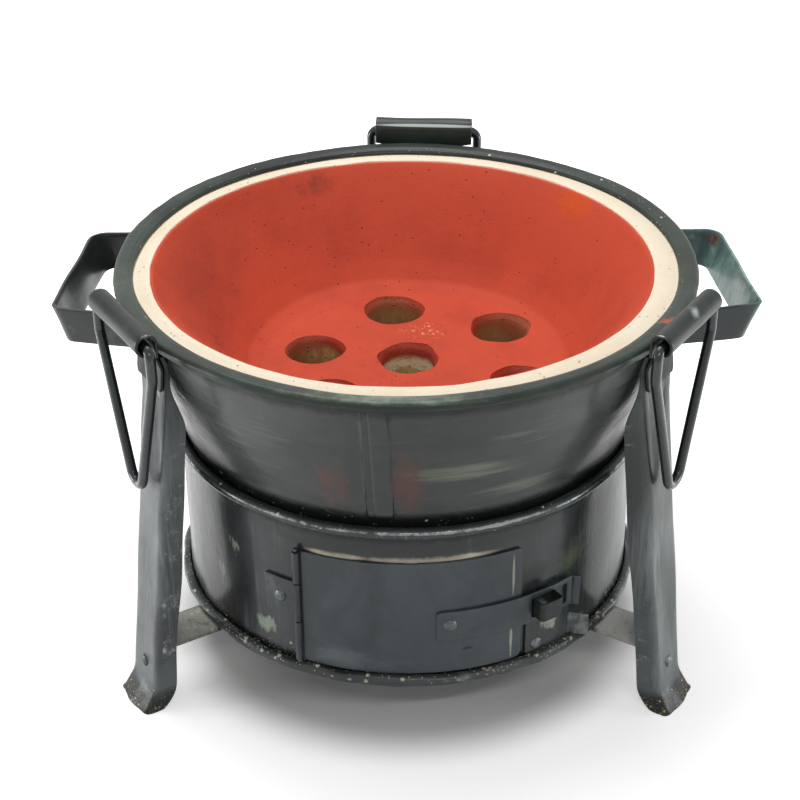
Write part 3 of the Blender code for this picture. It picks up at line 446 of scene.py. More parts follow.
def group(name, vectors, numbers, gives):
    """A new node group that takes vectors and numbers and gives numbers, all listed by name."""
    tree = bpy.data.node_groups.new(name, "ShaderNodeTree")
    for labels, way, kind in ((vectors, "INPUT", "Vector"), (numbers, "INPUT", "Float"),
                              (gives, "OUTPUT", "Float")):
        for label in labels.split():
            tree.interface.new_socket(label, in_out=way, socket_type="NodeSocket" + kind)
    taken = tree.nodes.new("NodeGroupInput").outputs
    values = [Value(taken[label]) for label in f"{vectors} {numbers}".split()]
    return tree, values, tree.nodes.new("NodeGroupOutput").inputs


# %% Dry brush marks
BRUSH_MARKS, (where, stretch, cover), gives = group("brush_marks", "Vector Stretch", "Cover", "Mask Height")
bristle = noise(vector("MULTIPLY", where, stretch), 1.0, 5.0, 0.65, 0.3)
level = bristle * 0.65 + noise(where, 14.0, 2.0) * 0.45
edge = 0.85 - cover * 0.6
feed(ramp(level, edge, edge + 0.13), gives["Mask"])
feed(bristle, gives["Height"])

# %% Spatter and dirt
SPATTER, (where, scale, amount), gives = group("spatter", "Vector", "Scale Amount", "Mask")
cells = node(SPATTER, "TexVoronoi", {"Vector": where, "Scale": scale, "Randomness": 1.0})
chance = value(SPATTER, "SeparateColor", {0: Value(cells.outputs["Color"])})
present = chance.maths("LESS_THAN", chance, amount * (noise(where, 45.0, 2.0) * 2.0))
ragged = (noise(where, 1400.0, 2.0) - 0.5) * 0.45
blot = ramp(Value(cells.outputs["Distance"]) + ragged, 0.34, 0.16)
feed(present * blot, gives["Mask"])

# %% A smear of another colour
SMEAR, (where, centre, size, stretch, solid, soft), gives = group(
    "smear", "Vector Centre Size Stretch", "Solid Soft", "Mask")
inside = vector("DIVIDE", vector("SUBTRACT", where, centre), size)
far = vector("LENGTH", inside, gives="Value")
ragged = noise(vector("MULTIPLY", where, stretch), 1.0, 5.0, 0.7, 0.4)
edge = 0.75 - solid * 0.5
thin = ramp((1.1 - far) * 0.42 + ragged * 0.6, edge, edge + soft)
feed(thin * ramp(far, 1.1, 0.6), gives["Mask"])

# %% Scraped edges
WORN_EDGES, (where, worn, wear), gives = group("worn_edges", "Vector", "Edge Wear", "Mask")
level = noise(where, 260.0, 4.0, 0.7) * 0.5 + noise(where, 40.0, 2.0) * 0.5
edge = 1.0 - wear * worn
feed(ramp(level, edge - 0.05, edge + 0.1), gives["Mask"])

# %% Hammer marks and fine grain
DENTED_SHEET, (where, dents, grain, crinkle), gives = group(
    "dented_sheet", "Vector", "Dents Grain Crinkle", "Height Patches")
height = noise(where, 38.0, 2.0, 0.4) * dents + noise(where, 420.0, 3.0, 0.6) * grain
feed(height + noise(where, 125.0, 2.0, 0.5, 0.8) * crinkle, gives["Height"])
feed(noise(where, 75.0, 4.0, 0.6), gives["Patches"])
print("effects:", ", ".join(g.name for g in bpy.data.node_groups))

# %% [markdown]
# ## Materials
# The whole body was painted by hand with a dark green enamel, thin enough to show the brush and
# the sheet below. One function lays the effects over each other in the order in which they came
# about: paint, brush marks, smears, scraped edges, and last the spatter of cement. Every finish
# then only differs in its numbers. All patterns read the stove's own coordinates in metres, so
# they have their true size and run on from one piece to the next.

# %% Colours and mixing
def srgb(r, g, b):
    """A colour read off a screen, 0-255, as the linear numbers that Blender's sockets want."""
    c = np.array([r, g, b]) / 255
    return (*(float(v) for v in np.where(c <= 0.04045, c / 12.92, ((c + 0.055) / 1.055) ** 2.4)), 1.0)


def mix(mask, under, over):
    """The colour under where the mask is 0, the colour over where it is 1."""
    under, over = (c if isinstance(c, Value) or len(c) == 4 else srgb(*c) for c in (under, over))
    return value(mask.tree, "Mix", {0: mask, 6: under, 7: over}, 2, data_type="RGBA")


def effect(kind, **inputs):
    """Places one of the effect groups in a material and gives its outputs by name."""
    made = inputs["Vector"].tree.nodes.new("ShaderNodeGroup")
    made.node_tree = kind
    for key, given in inputs.items():
        feed(given, made.inputs[key])
    return {socket.name: Value(socket) for socket in made.outputs}


def start(name, specular):
    """A new material's tree, the inputs of its Principled shader and the object coordinates."""
    material = bpy.data.materials.new(name)
    material.use_nodes = True
    tree = material.node_tree
    shader = next(n for n in tree.nodes if n.type == "BSDF_PRINCIPLED").inputs
    shader["Specular IOR Level"].default_value = specular
    return material, tree, shader, value(tree, "TexCoord", gives="Object")


def relief(shader, height, distance):
    bump_node = {"Height": height, "Distance": distance, "Strength": 0.8}
    feed(value(height.tree, "Bump", bump_node), shader["Normal"])


def smeared(where, paint, table):
    """Lays smears over a colour. Each row of the table is one smear: its place from the stove's
    axis, its half sizes, its colour, how solid it is, how its streaks lie and how soft its edge
    is. Places and sizes are in millimetres."""
    for row in np.array(table.split(), float).reshape(-1, 14):
        place, size, tint, (solid, *lie, soft) = row[:3] * MM, row[3:6] * MM, row[6:9], row[9:]
        mask = effect(SMEAR, Vector=where, Centre=AXIS + place, Size=size, Stretch=lie,
                      Solid=solid, Soft=soft)
        paint = mix(mask["Mask"], paint, tuple(tint))
    return paint


# %% Hand-painted sheet metal
CREAM, BARE, SHADE_AND_GRIME_COLOUR = (226, 214, 186), (158, 160, 156), (17, 21, 19)
UPRIGHT, LEVEL, SHORT = (260, 260, 16), (18, 18, 320), (70, 70, 70)


def painted(name, colour, brushed, cover, stretch, rough, smears="", wear=0.5, bare=BARE, dirt=0.0,
            dirt_colour=CREAM, dirt_size=330, dents=1.0, metallic=0.0, coat=0.30):
    """Paint, then brush marks, smears, scraped edges, painted shade with grime, and spatter."""
    material, tree, shader, where = start(name, 0.24)
    edge, grime, soiled = (value(tree, "Attribute", gives="Fac", attribute_name=key)
                           for key in ("edge", "grime", "dirt"))
    sheet = effect(DENTED_SHEET, Vector=where, Dents=dents, Grain=0.10, Crinkle=grime * 0.7 + 0.08)
    marks = effect(BRUSH_MARKS, Vector=where, Stretch=stretch, Cover=cover)
    wide = vector("MULTIPLY", where, tuple(9.0 + 0.06 * v for v in stretch))
    cloud = noise(wide, 1.0, 3.0, 0.55, 0.6) * 0.7 + sheet["Patches"] * 0.3
    dark = (*(0.50 * c for c in srgb(*colour)[:3]), 1.0)
    paint = mix(ramp(cloud, 0.38, 0.62), dark, colour)
    paint = smeared(where, mix(marks["Mask"] * 0.75, paint, brushed), smears)
    worn = effect(WORN_EDGES, Vector=where, Edge=edge, Wear=wear)["Mask"]
    grime = ramp(grime + (sheet["Patches"] * 0.8 - 0.4) * ramp(grime, 0.0, 0.3), 0.15, 0.85)
    # Nearly black where this mark is high: painted shade in creases, under rims and behind parts, with some
    # grime.
    paint = mix(grime * 0.90, mix(worn, paint, bare), SHADE_AND_GRIME_COLOUR)
    amount = soiled + dirt
    spots, fine = (effect(SPATTER, Vector=where, Scale=size, Amount=amount)["Mask"]
                   for size in (dirt_size, dirt_size * 2.6))
    spots = larger(spots, fine * 0.7)
    feed(mix(spots, paint, dirt_colour), shader["Base Color"])
    feed((1.0 - grime * 0.85) * coat, shader["Coat Weight"])
    feed(0.16, shader["Coat Roughness"])
    uneven = (marks["Height"] - 0.5) * 0.35 + rough
    feed(uneven.maths("ADD", uneven, spots * 0.4, clamp=True), shader["Roughness"])
    feed(larger(worn * 0.6, metallic), shader["Metallic"])
    relief(shader, sheet["Height"] + marks["Height"] * 0.10 + spots * 0.25, 0.0012)
    return material


# %% The finishes of the sheet metal
cone_paint = painted("cone_paint", (66, 73, 71), (112, 120, 115), 0.40, LEVEL, 0.32, """
    34 -138 170  55 40 12  150 158 140  0.60  18 18 320  0.3
    62 -122 152  45 40 9  150 158 140  0.56  18 18 320  0.3
    50 -130 190  50 40 6  150 158 140  0.25  18 18 320  0.3
    -36 -130 158  16 40 26  112 66 58  0.62  130 130 22  0.3
    0 -132 165  14 40 34  112 66 58  0.66  150 150 20  0.3
    -100 -85 190  40 30 18  150 158 140  0.20  18 18 320  0.3""", wear=0.55)
# The sixth smear, a dark band right under the bead at the front, is a painted shadow, and the bare colour
# also serves the painted highlight on the bead's top.
drum_paint = painted("drum_paint", (66, 73, 75), (110, 119, 119), 0.38, UPRIGHT, 0.30, """
    12 -122 113.8  38 20 2.2  246 236 212  1.30  110 110 420  0.05
    -36 -116 113.8  16 20 2  246 236 212  1.30  130 130 420  0.05
    -68 -100 85  14 16 26  128 138 136  0.42  70 70 30  0.3
    84 -87 92  18 20 22  122 134 106  0.50  110 110 70  0.3
    63 -105 93  15 12 9  15 17 17  1.1  60 60 60  0.5
    0 -120 119.5  110 60 7.5  24 28 28  0.95  90 90 60  0.35
    -74 -94 58  18 18 13  166 180 162  0.36  160 160 60  0.12
    -96 -70 76  8 12 22  186 192 186  0.40  120 120 40  0.12
    -88 -80 98  7 9 14  206 208 194  0.42  260 260 70  0.08
    72 -98 62  8 10 13  196 200 184  0.55  150 150 50  0.12""", wear=0.70, bare=(142, 150, 148))
# The third smear, a dark band under the front lip, is a painted shadow, and the last two, darker patches at
# the back of the hoop, are painted shade.
hoop_paint = painted("hoop_paint", (52, 62, 54), (74, 85, 74), 0.42, LEVEL, 0.46, """
    127 -72 219.5  10 8 6  170 80 64  0.42  200 200 200  0.15
    -10 -142 219.5  100 20 3  136 146 132  0.45  60 60 260  0.3
    0 -147 215  160 60 1.8  22 25 24  0.75  120 120 200  0.3
    -60 126 219  80 40 10  26 30 27  0.80  60 60 60  0.3
    70 120 219  60 40 10  30 35 32  0.55  60 60 60  0.3""", wear=0.42, coat=0.08)
door_paint = painted("door_paint", (80, 90, 95), (98, 108, 112), 0.28, UPRIGHT, 0.38, """
    50 -111 80  4 10 30  150 156 150  0.15  500 500 12  0.3
    52.5 -110 56  0.9 10 15  186 190 176  0.60  600 600 110  0.08
    53 -110 97  0.8 10 14  166 172 162  0.75  600 600 60  0.08
    30 -118 58  3.2 10 1.1  12 14 14  1.4  60 60 60  0.08
    -30 -118 52  60 20 14  112 122 126  0.45  40 40 60  0.3""", wear=0.30, dents=0.5)
leg_paint = painted("leg_paint", (104, 111, 113), (138, 145, 147), 0.44, (300, 300, 14), 0.38, """
    124 -70 150  34 34 62  52 60 54  1.05  150 150 14  0.3
    140 -81 70  26 26 60  66 76 72  0.70  170 170 12  0.3
    -122 -70 185  34 36 34  60 66 66  0.90  150 150 16  0.3
    -118 -76 190  10 10 14  158 163 166  0.60  220 220 60  0.1
    124 -78 188  10 10 12  130 136 136  0.55  220 220 60  0.1""", wear=0.55,
                    bare=(176, 180, 178), metallic=0.1, dirt_colour=(206, 186, 142), dirt_size=420)
handle_paint = painted("handle_paint", (56, 63, 61), (108, 118, 112), 0.44, SHORT, 0.36, wear=0.55)
right_handle_paint = painted("right_handle_paint", (104, 132, 129), (150, 176, 170), 0.54, SHORT, 0.36, """
    157 -34.5 197  30 7.5 20  32 41 43  1.5  60 60 60  0.15
    176 0 203  6 16 6  120 62 52  0.55  160 160 160  0.3
    166 52 203  12 10 7  120 58 48  0.60  200 200 200  0.3""", wear=0.6)
clip_paint = painted("clip_paint", (40, 50, 46), (70, 81, 76), 0.42, (60, 60, 160), 0.42, """
    137 -85 231  6 14 6  178 186 180  0.42  90 90 90  0.3
    11 151.5 228.8  40 6 0.9  190 202 196  1.6  90 90 300  0.2""", wear=0.6, coat=0.12)
strap_metal = painted("strap_metal", (92, 94, 90), (226, 224, 212), 0.72, (90, 90, 90), 0.5, """
    122 -78 36  34 28 14  250 249 242  1.7  110 110 110  0.12""",
                      coat=0.0, dirt=0.45, dirt_colour=(236, 234, 222), dirt_size=210)
rod_steel = painted("rod_steel", (42, 48, 51), (72, 79, 82), 0.40, (80, 80, 80), 0.30,
                    wear=0.4, metallic=0.3, coat=0.55)
rivet_steel = painted("rivet_steel", (98, 106, 108), (150, 157, 156), 0.50, (150, 150, 150), 0.38,
                      wear=0.6, metallic=0.2)
print("sheet finishes ready:", len(bpy.data.materials))

# %% [markdown]
# ## Clay and cement
# The bowl is coarse clay under a thin red wash: dull, finely grained, with small pits and darker
# thumb marks. Where the air holes were pushed through, the raw buff clay shows. The cement that
# beds the bowl is paler and smoother, with a few pits at its edge.

# %% Fired clay
def earthen(name, colour, cloud, pit, rough=0.75, pits=0.03, grain=0.35, smears=""):
    """Dull clay: clouds of a second colour, dark pits and a fine grain in the surface."""
    material, tree, shader, where = start(name, 0.35)
    clouds = ramp(noise(where, 22.0, 5.0, 0.6), 0.42, 0.72)
    tint = smeared(where, mix(clouds * 0.6, colour, cloud), smears)
    holes = effect(SPATTER, Vector=where, Scale=520.0, Amount=pits)["Mask"]
    fine = noise(where, 900.0, 3.0, 0.6)
    tint = mix(ramp(fine, 0.5, 0.85) * 0.25, tint, pit)
    feed(mix(holes * 0.75, tint, pit), shader["Base Color"])
    feed(rough, shader["Roughness"])
    relief(shader, fine * grain + noise(where, 90.0, 3.0, 0.5) * 0.8 - holes * 0.8, 0.0006)
    return material


# The third smear, which darkens the bowl's left inner wall, is painted shade.
red_clay = earthen("red_clay", (200, 75, 47), (174, 59, 38), (116, 42, 30), smears="""
    93 80 212  18 16 12  206 78 24  0.75  60 60 60  0.3
    -50 108 211  18 18 10  104 42 34  0.70  110 110 110  0.5
    -112 15 188  36 90 44  126 47 36  1.05  26 26 26  1.0
    -98 -20 180  34 70 34  96 38 30  0.22  620 620 620  0.30
    10 30 162.5  30 30 4  238 150 110  0.45  420 420 420  0.06""")
raw_clay = earthen("raw_clay", (178, 112, 76), (176, 152, 98), (96, 50, 34), 0.5, 0.06, 0.9, """
    0 0 147  90 90 14  214 190 128  0.66  160 160 60  0.3
    0 0 150  90 90 14  244 232 196  0.30  190 190 420  0.06
    0 0 160  90 90 9.5  168 66 48  1.10  70 70 120  0.15""")
cream_cement = earthen("cream_cement", (246, 232, 208), (238, 218, 188), (158, 124, 92), 0.7, 0.05)
print("clay finishes:", red_clay.name, raw_clay.name, cream_cement.name)

# %% [markdown]
# ## The waist, the cone and the drum
# Sheet metal bent by hand is never quite round. Each shell is its section turned about the axis,
# with shallow waves added to the radius. The waves go inwards, so the parts that lie on a shell
# keep their clearance. The cone's overlap at the front is a low step in the same radius.

# %% Cone
CONE_FOOT, CONE_LOW, SLOPE = 0.1199, 0.1345, 0.3253
SEAM = 264.0


def cone_at(z, out=0.0):
    """The cone's radius at height z, or of a surface that lies the distance out from it."""
    return CONE_FOOT + SLOPE * (z - CONE_LOW) + out * math.hypot(1, SLOPE)


def cone_push(a, r, z):
    """Shallow inward waves, and the seam: a flat step of 0.9 mm with a groove along it."""
    along = apart(a, SEAM) * np.radians(1) * r
    seam = step(along, -0.0072, -0.0060) * step(along, 0.0063, 0.0059)
    groove = bump(along, -0.0032, 0.0005) * 0.35
    wave = -0.00045 * (1 + ripple(a, z, 4)) / 2 * step(z, 0.136, 0.150)
    return wave + step(z, 0.1375, 0.1400) * (0.9 * seam - groove) * MM, 0 * a


wall = fillet([(0.14557, 0.2134), (CONE_FOOT, CONE_LOW), (CONE_FOOT, 0.1285), (0.106, 0.1285)], 0.0015)
near_seam = np.arange(SEAM - 4.5, SEAM + 4.5, 0.25)
azimuths = np.unique(np.round(np.concatenate([np.linspace(0, 360, 300, endpoint=False), near_seam]) % 360, 3))
cone = turned("cone_wall", sheet_line(spaced(wall, 0.003), 0, 0.0012), azimuths, cone_push)
a, r, z = places(cone)
off_seam = np.abs(apart(a, SEAM)) * r * np.radians(1)
# Painted shade: two dark bands beside the front legs, where their shadow falls, and darkening under the hoop
# and just above the waist; a dark line also runs along the seam's step.
shade = bump(np.abs(apart(a, 270)), 56, 6) * 0.62 + 0.5 * bump(off_seam, 0.0066, 0.0010)
dress(cone, cone_paint, "upper_shell",
      edge=step(z, 0.2105, 0.2135) * 0.5 + bump(off_seam, 0.006, 0.0008) * 0.45,
      grime=0.9 * step(z, 0.1460, 0.1365) + 0.75 * step(z, 0.2045, 0.2120) + shade,
      dirt=0.06 * step(z, 0.140, 0.134) * (z > 0.130))

# %% Drum with its bead and the mouth for ash
bead = arc((0.1233, 0.1309), 0.0024, 175, -150, 22)
wall = np.vstack([fillet([(0.112, 0.0394), (0.1209, 0.0394), (0.1209, 0.1285)], 0.001), bead])


def drum_push(a, r, z):
    """Inward waves on the wall, which fade out under the door and its hinge, and a lumpy bead."""
    quiet = 1 - step(np.abs(apart(a, 272)), 48, 38) * step(z, 0.118, 0.110)
    wave = -0.0005 * (1 + ripple(a, z, 9)) / 2 * quiet * step(z, 0.046, 0.060)
    lump = step(z, 0.1265, 0.1285) * 0.0003 * wander(a, 21, 5, 34)
    return wave + lump, lump * 0.8


def sector(name, inner, outer, start, end, bottom, top, corner):
    """A block between two radii, two azimuths and two heights, as a cutter."""
    radius = (inner + outer) / 2
    half = np.radians(end - start) / 2 * radius
    ends = [(-half, bottom), (half, bottom), (half, top), (-half, top)]
    outline = fillet(ends, corner, 4, 0.004, closed=True)
    azimuth = (start + end) / 2 + np.degrees(outline[:, 0] / radius)
    rings = np.linspace(inner, outer, 4)[:, None]
    return skin(name, polar(rings, azimuth, outline[:, 1]))


drum = turned("drum_wall", sheet_line(wall, 0.0006, -0.0006), 300, drum_push)
carve(drum, sector("ash_mouth", 0.112, 0.130, 247.5, 293.8, 0.050, 0.106, 0.002))
a, r, z = places(drum)
# The edge mark makes a light bare line along the top of the bead, partly wear and partly a painted highlight.
# The darkening under the bead and at the foot of the drum is painted shade.
dress(drum, drum_paint, "lower_shell",
      edge=bump(z, 0.1322, 0.0014) * (r > 0.1225) * 0.85,
      grime=0.85 * step(z, 0.1195, 0.1270) * (z < 0.1283) + 0.8 * step(z, 0.050, 0.0445),
      dirt=0.05 * step(z, 0.128, 0.132) * (r > 0.1235) + 0.25 * step(z, 0.052, 0.0445) * (r > 0.1212))

# %% Bottom plate with its folded seam
fold = fillet([(0, 0.0387), (0.1219, 0.0387), (0.1221, 0.0432), (0.1266, 0.0434), (0.1269, 0.0375),
               (0, 0.0375)], [0, 0.0002, 0.0006, 0.0022, 0.0022, 0], 5, 0.003, closed=True)


def fold_push(a, r, z):
    """The seam was closed with a hammer: short lumps in and out, up and down, none inside."""
    outer = step(r, 0.1235, 0.1262)
    lumps = np.clip(wander(a, 33, 9, 60) * 1.5, -1.6, 1.3)
    high = step(z, 0.0395, 0.0425) * step(r, 0.1215, 0.1225)
    rise = np.clip(wander(a, 34, 7, 50) * 1.5, -1.3, 0.4)
    return outer * (0.75 * lumps - 0.3) * MM, high * 1.3 * rise * MM


pan = turned("bottom_plate", fold, 360, fold_push)
a, r, z = places(pan)
patches = ((226, 14, 0.8), (318, 12, 0.8), (291, 8, 0.5))
spots = 0.30 + sum(amount * bump(apart(a, middle), 0, wide) for middle, wide, amount in patches)
# Painted shade under the hammered fold, and along the bottom of its outer lip below.
shade_under_fold = 0.7 * step(z, 0.0435, 0.0415) * step(r, 0.1240, 0.1225) * (z > 0.039)
pan_paint = painted("pan_paint", (74, 80, 81), (108, 116, 114), 0.42, (60, 60, 60), 0.36, wear=0.6,
                    dirt=0.01, dirt_colour=(224, 216, 192), dirt_size=230)
dress(pan, pan_paint, "base_pan", edge=step(r, 0.1240, 0.1262) * 0.6,
      grime=shade_under_fold + 0.4 * step(z, 0.0405, 0.038) * (r > 0.126),
      dirt=spots * step(z, 0.0400, 0.0425) * step(r, 0.1205, 0.1225))

# %% [markdown]
# ## The rolled hoop
# The hoop is a strip of sheet that starts flat on the cement and rolls over a wire round the rim.
# It was dressed with a hammer too, so its outer edge wanders by a millimetre or so.

# %% Hoop
rolled = arc((0.1469, 0.2169), 0.0031, 95, -165, 22)
lip = fillet([(0.1395, 0.2172), (0.1403, 0.2186), (0.1430, 0.2197), rolled[0]], 0.0012)


def hoop_push(a, r, z):
    """Lumps grow towards the outer edge, a slow wave raises and lowers the whole hoop, and its
    lower edge is crimped in short waves."""
    outer = step(r, 0.1430, 0.1490)
    lump = np.clip(wander(a, 5, 4, 40) + 1.4 * wander(a, 7, 40, 90), -1.6, 0.5)
    inner = step(r, 0.1425, 0.1395) * 0.55 * wander(a, 6, 3, 24)
    back = 1 + 0.8 * bump(apart(a, 115), 0, 45)
    under = step(z, 0.2165, 0.2145) * outer
    crimp = 0.60 * np.clip(wander(a, 17, 24, 70) * 8, -0.5, 1.0) * under
    slow = 0.30 * np.clip(wander(a, 8, 2, 22), -1.2, 0.5)
    return (outer * 0.55 * back * lump + inner) * MM, (crimp + slow) * MM


section = sheet_line(spaced(np.vstack([lip, rolled[1:]]), 0.002), 0, 0.0011, gap=0.002)
hoop = turned("rolled_hoop", section, 420, hoop_push)
a, r, z = places(hoop)
# Painted shade under the rolled edge.
dress(hoop, hoop_paint, "rim_hoop",
      edge=step(r, 0.1482, 0.1500) * 0.6 + step(r, 0.1415, 0.1398) * 0.35,
      grime=0.8 * step(z, 0.2160, 0.2142) * (r > 0.1435),
      dirt=0.05 * step(r, 0.1425, 0.1398) + 0.10 * step(np.abs(apart(a, 28)), 26, 8) * (r > 0.143))

# %% [markdown]
# ## The fire bowl
# The clay was pressed in by hand. It isn't quite central, so the cream ring of cement is narrower
# on the left than on the right; one function of the azimuth moves the mouth of the bowl and the
# edge of the cement together. The air holes were pushed through the wet clay, and are cut here
# with lumpy plugs whose own material becomes the raw wall of each hole.

# %% Bowl
FLOOR_R, FLOOR_Z, MOUTH_R, MOUTH_Z, FOOT_R = 0.076, 0.160, 0.1303, 0.217, 0.1151


def mouth_shift(a):
    """How far the mouth lies inside its plain circle: nothing on the left, most on the right."""
    return (1.9 * (1 + np.cos(np.radians(a - 8))) + 0.35 * wander(a, 12, 3, 16)) * MM


def bowl_outer(z):
    """Inside the cone's sheet and the cement there are 4.8 mm less, measured square to the cone."""
    return cone_at(z, -0.0048)


def bowl_push(a, r, z):
    """The mouth moves by mouth_shift, less and less down the wall; thumb waves cross the inside."""
    inner = step(r, bowl_outer(z) - 0.0015, bowl_outer(z) - 0.005) * (z > 0.150)
    wave = 0.0006 * ripple(a, z, 17, 9, 90) * step(r, 0.030, 0.080) * step(z, 0.217, 0.210)
    floor = 0.0005 * ripple(a, r, 18, 7, 60) * step(r, 0.125, 0.09)
    return inner * (wave - mouth_shift(a) * step(z, 0.165, 0.217)), inner * floor


curve = np.array([(0, 0), (0.15, 0.06), (0.31, 0.22), (0.54, 0.48), (1, 1)])
wall = curve * (MOUTH_R - FLOOR_R, MOUTH_Z - FLOOR_Z) + (FLOOR_R, FLOOR_Z)
outside = [(bowl_outer(0.212), 0.212), (FOOT_R, 0.1345), (FOOT_R, 0.130), (0.104, 0.130),
           (0.104, 0.138), (0, 0.138)]
corners = [0, .012, .010, .015, .03, .0012, .001, .001, .001, .001, .004, 0]
section = fillet(np.vstack([(0, FLOOR_Z), wall, outside]), corners, 6, 0.0028, closed=True)
bowl = turned("fire_bowl", section, 300, bowl_push, sharp=50)
bowl.data.materials.append(red_clay)

# %% Air holes
HOLES = ((1, 0), (50, 168), (54, 97), (61, 33), (65, 336), (56, 225), (58, 280))
PLUG_HEIGHTS = (133, 137, 142, 149, 154, 156.5, 158, 159.2, 160.2, 161.2, 163)
plugs = []
height = np.array(PLUG_HEIGHTS)[:, None] * MM
angle = np.linspace(0, 360, 56, endpoint=False)[None]
for number, (radius, azimuth) in enumerate(HOLES):
    lumpy = 1 + 0.040 * wander(angle, 50 + number, 2, 5) + 0.022 * ripple(angle, height, 70 + number, 9, 260)
    wide = (13.5 + 0.05 * (height / MM - 133) + 2.0 * step(height, 0.1560, 0.1612)) * MM * lumpy
    plug = xyz(wide * np.cos(np.radians(angle)), wide * np.sin(np.radians(angle)), height)
    tool = skin(f"plug_{number}", plug + polar(radius * MM, azimuth))
    tool.data.materials.append(raw_clay)
    plugs.append(tool)
carve(bowl, *plugs)
dress(bowl, None, "clay_liner", "fired_clay")

# %% Cement ring
cement = [(0.1313, 0.2163), (0.1315, 0.2174), (0.1345, 0.2172), (0.1385, 0.2162), (0.1434, 0.2160),
          (cone_at(0.213, -0.0015), 0.213), (0.1184, 0.1348), (0.1184, 0.130), (0.1154, 0.130),
          (0.1154, 0.1342), (bowl_outer(0.2123) + 0.0003, 0.2123)]
corners = [0, .0008, .002, .002, .0005, .0005, .0003, .0003, .0003, .0003, 0]


def cement_push(a, r, z):
    """Only the feathered edge over the clay follows the mouth of the bowl, with its own waves."""
    reach = step(r, 0.1365, 0.1325) * step(z, 0.2135, 0.2150)
    rough = 0.0003 * wander(a, 14, 8, 60)
    return reach * (rough - mouth_shift(a)), reach * 0.00022 * ripple(a, r, 15, 40, 400)


section = fillet(cement, corners, 4, 0.0028, closed=True)
ring = turned("cement_ring", section, 420, cement_push, sharp=45)
dress(ring, cream_cement, "cement_packing", "cement")

# %% [markdown]
# ## Door, hinge and latch
# These parts are flat sheet bent round the drum. The easy way is to draw them flat, with the
# distance along the sheet as x, the height off it as y and the stove's height as z, cut the slot
# while they are still flat, and then wrap every point round the axis.

# %% Wrap a flat piece round the drum
DRUM = 0.1215
SHEET_OFF, SHEET = 0.0003, 0.0012
PIN_R, PIN_AZIMUTH = 0.1239, 243.2


def wrap(obj, azimuth):
    """x becomes an arc on the drum, measured from the azimuth, and y a distance off the drum.
    Gives x, y and z as they were on the flat piece."""
    x, y, z = points_of(obj).T
    move(obj, polar(DRUM + y, azimuth + np.degrees(x / DRUM), z))
    return x, y, z


def arc_length(start, end):
    return np.radians(end - start) * DRUM


def flat_plate(name, start, end, bottom, top, corners, gap=0.002):
    """An upright plate between two azimuths, with four rounded corners. Its half width at height z
    follows the corner circles: w - c + sqrt(c^2 - (d - h + c)^2), where d is the distance from
    the middle height."""
    width, high = arc_length(start, end), (top - bottom) / 2
    near_end = np.linspace(0, 1, 9) ** 2 * corners / high
    even = np.linspace(-1, 1, max(int(2 * high / gap), 4))
    t = np.unique(np.concatenate([even, 1 - near_end, near_end - 1]))
    over = np.clip(np.abs(t) * high - (high - corners), 0, corners * 0.999)
    half = width / 2 - corners + np.sqrt(corners**2 - over**2)
    path = xyz(0, SHEET_OFF + SHEET / 2, (bottom + top) / 2 + high * t)
    return ribbon(name, path, (1, 0, 0), half * 2, SHEET, SHEET * 0.4, fine=max(int(width / gap), 5))


# %% Door panel
DOOR, LEAF = (243.4, 298), (233.5, 243.1)
door = flat_plate("door_panel", *DOOR, 0.0445, 0.1125, 0.003)
p = points_of(door)
side = np.abs(p[:, 0]) / (arc_length(*DOOR) / 2)
up = np.abs(p[:, 2] - 0.0785) / 0.034
p[:, 1] += 0.00025 * (ripple(p[:, 0] * 1400, p[:, 2], 41, 6, 60) + 1) * (1 - side**2) * (1 - up**2)
move(door, p)
wrap(door, sum(DOOR) / 2)
dress(door, door_paint, "door", body="door",
      edge=np.maximum(step(side, 0.965, 1.0), step(up, 0.955, 1.0)) * 0.55)

# %% Hinge
def sleeve(name, bottom, top, outer=0.0020, bore=0.0013):
    """A rolled barrel round the hinge pin: a tube whose ends are slightly rounded."""
    r, z = fillet([(bore, bottom), (outer, bottom), (outer, top), (bore, top)],
                  [0, 0.00035, 0.00035, 0], closed=True).T
    b = np.linspace(0, 2 * np.pi, 28, endpoint=False)[:, None]
    around = xyz(r * np.cos(b), r * np.sin(b), z)
    return skin(name, around + polar(PIN_R, PIN_AZIMUTH), loop=True, sharp=50)


dress(sleeve("door_barrel_low", 0.0450, 0.0689), door_paint, "door", None, "door")
dress(sleeve("door_barrel_high", 0.0931, 0.1120), door_paint, "door", None, "door")
dress(sleeve("hinge_knuckle", 0.0695, 0.0925), drum_paint, "hinge_strap", None)
leaf = flat_plate("hinge_leaf", *LEAF, 0.0699, 0.0921, 0.0012, 0.0015)
x, y, z = wrap(leaf, sum(LEAF) / 2)
free_end = step(-x / arc_length(*LEAF), 0.40, 0.5) * 0.6
dress(leaf, drum_paint, "hinge_strap", edge=free_end + step(np.abs(z - 0.081), 0.0095, 0.0111) * 0.4)

# %% Hasp with its slot
HASP, SLOT, HASP_Z = (276.6, 312.7), (300.22, 310.92), 0.074
flat_long = arc_length(*HASP)
s = np.concatenate([np.linspace(0, flat_long, 44), flat_long + np.linspace(0.0006, 0.0038, 6)])
past = s - flat_long
lift_out = 0.80 * step(past, -0.0008, 0.0012) * np.clip(past + 0.0008, 0, 1)
path = xyz(np.minimum(s, flat_long) + 0.62 * np.clip(past, 0, 1), 0.00255 + lift_out, HASP_Z)
width = 0.018 - 0.0024 * (1 - np.sqrt(1 - np.clip(1 - s / 0.0012, 0, 0.98) ** 2))
hasp = ribbon("door_strap", path, (0, 0, -1), width, 0.0015, 0.0005, fine=13)
one, two = (arc_length(HASP[0], spot) for spot in SLOT)
slot = fillet([(one, 0.0678), (two, 0.0678), (two, 0.0802), (one, 0.0802)], 0.0012, 4, 0.002, closed=True)
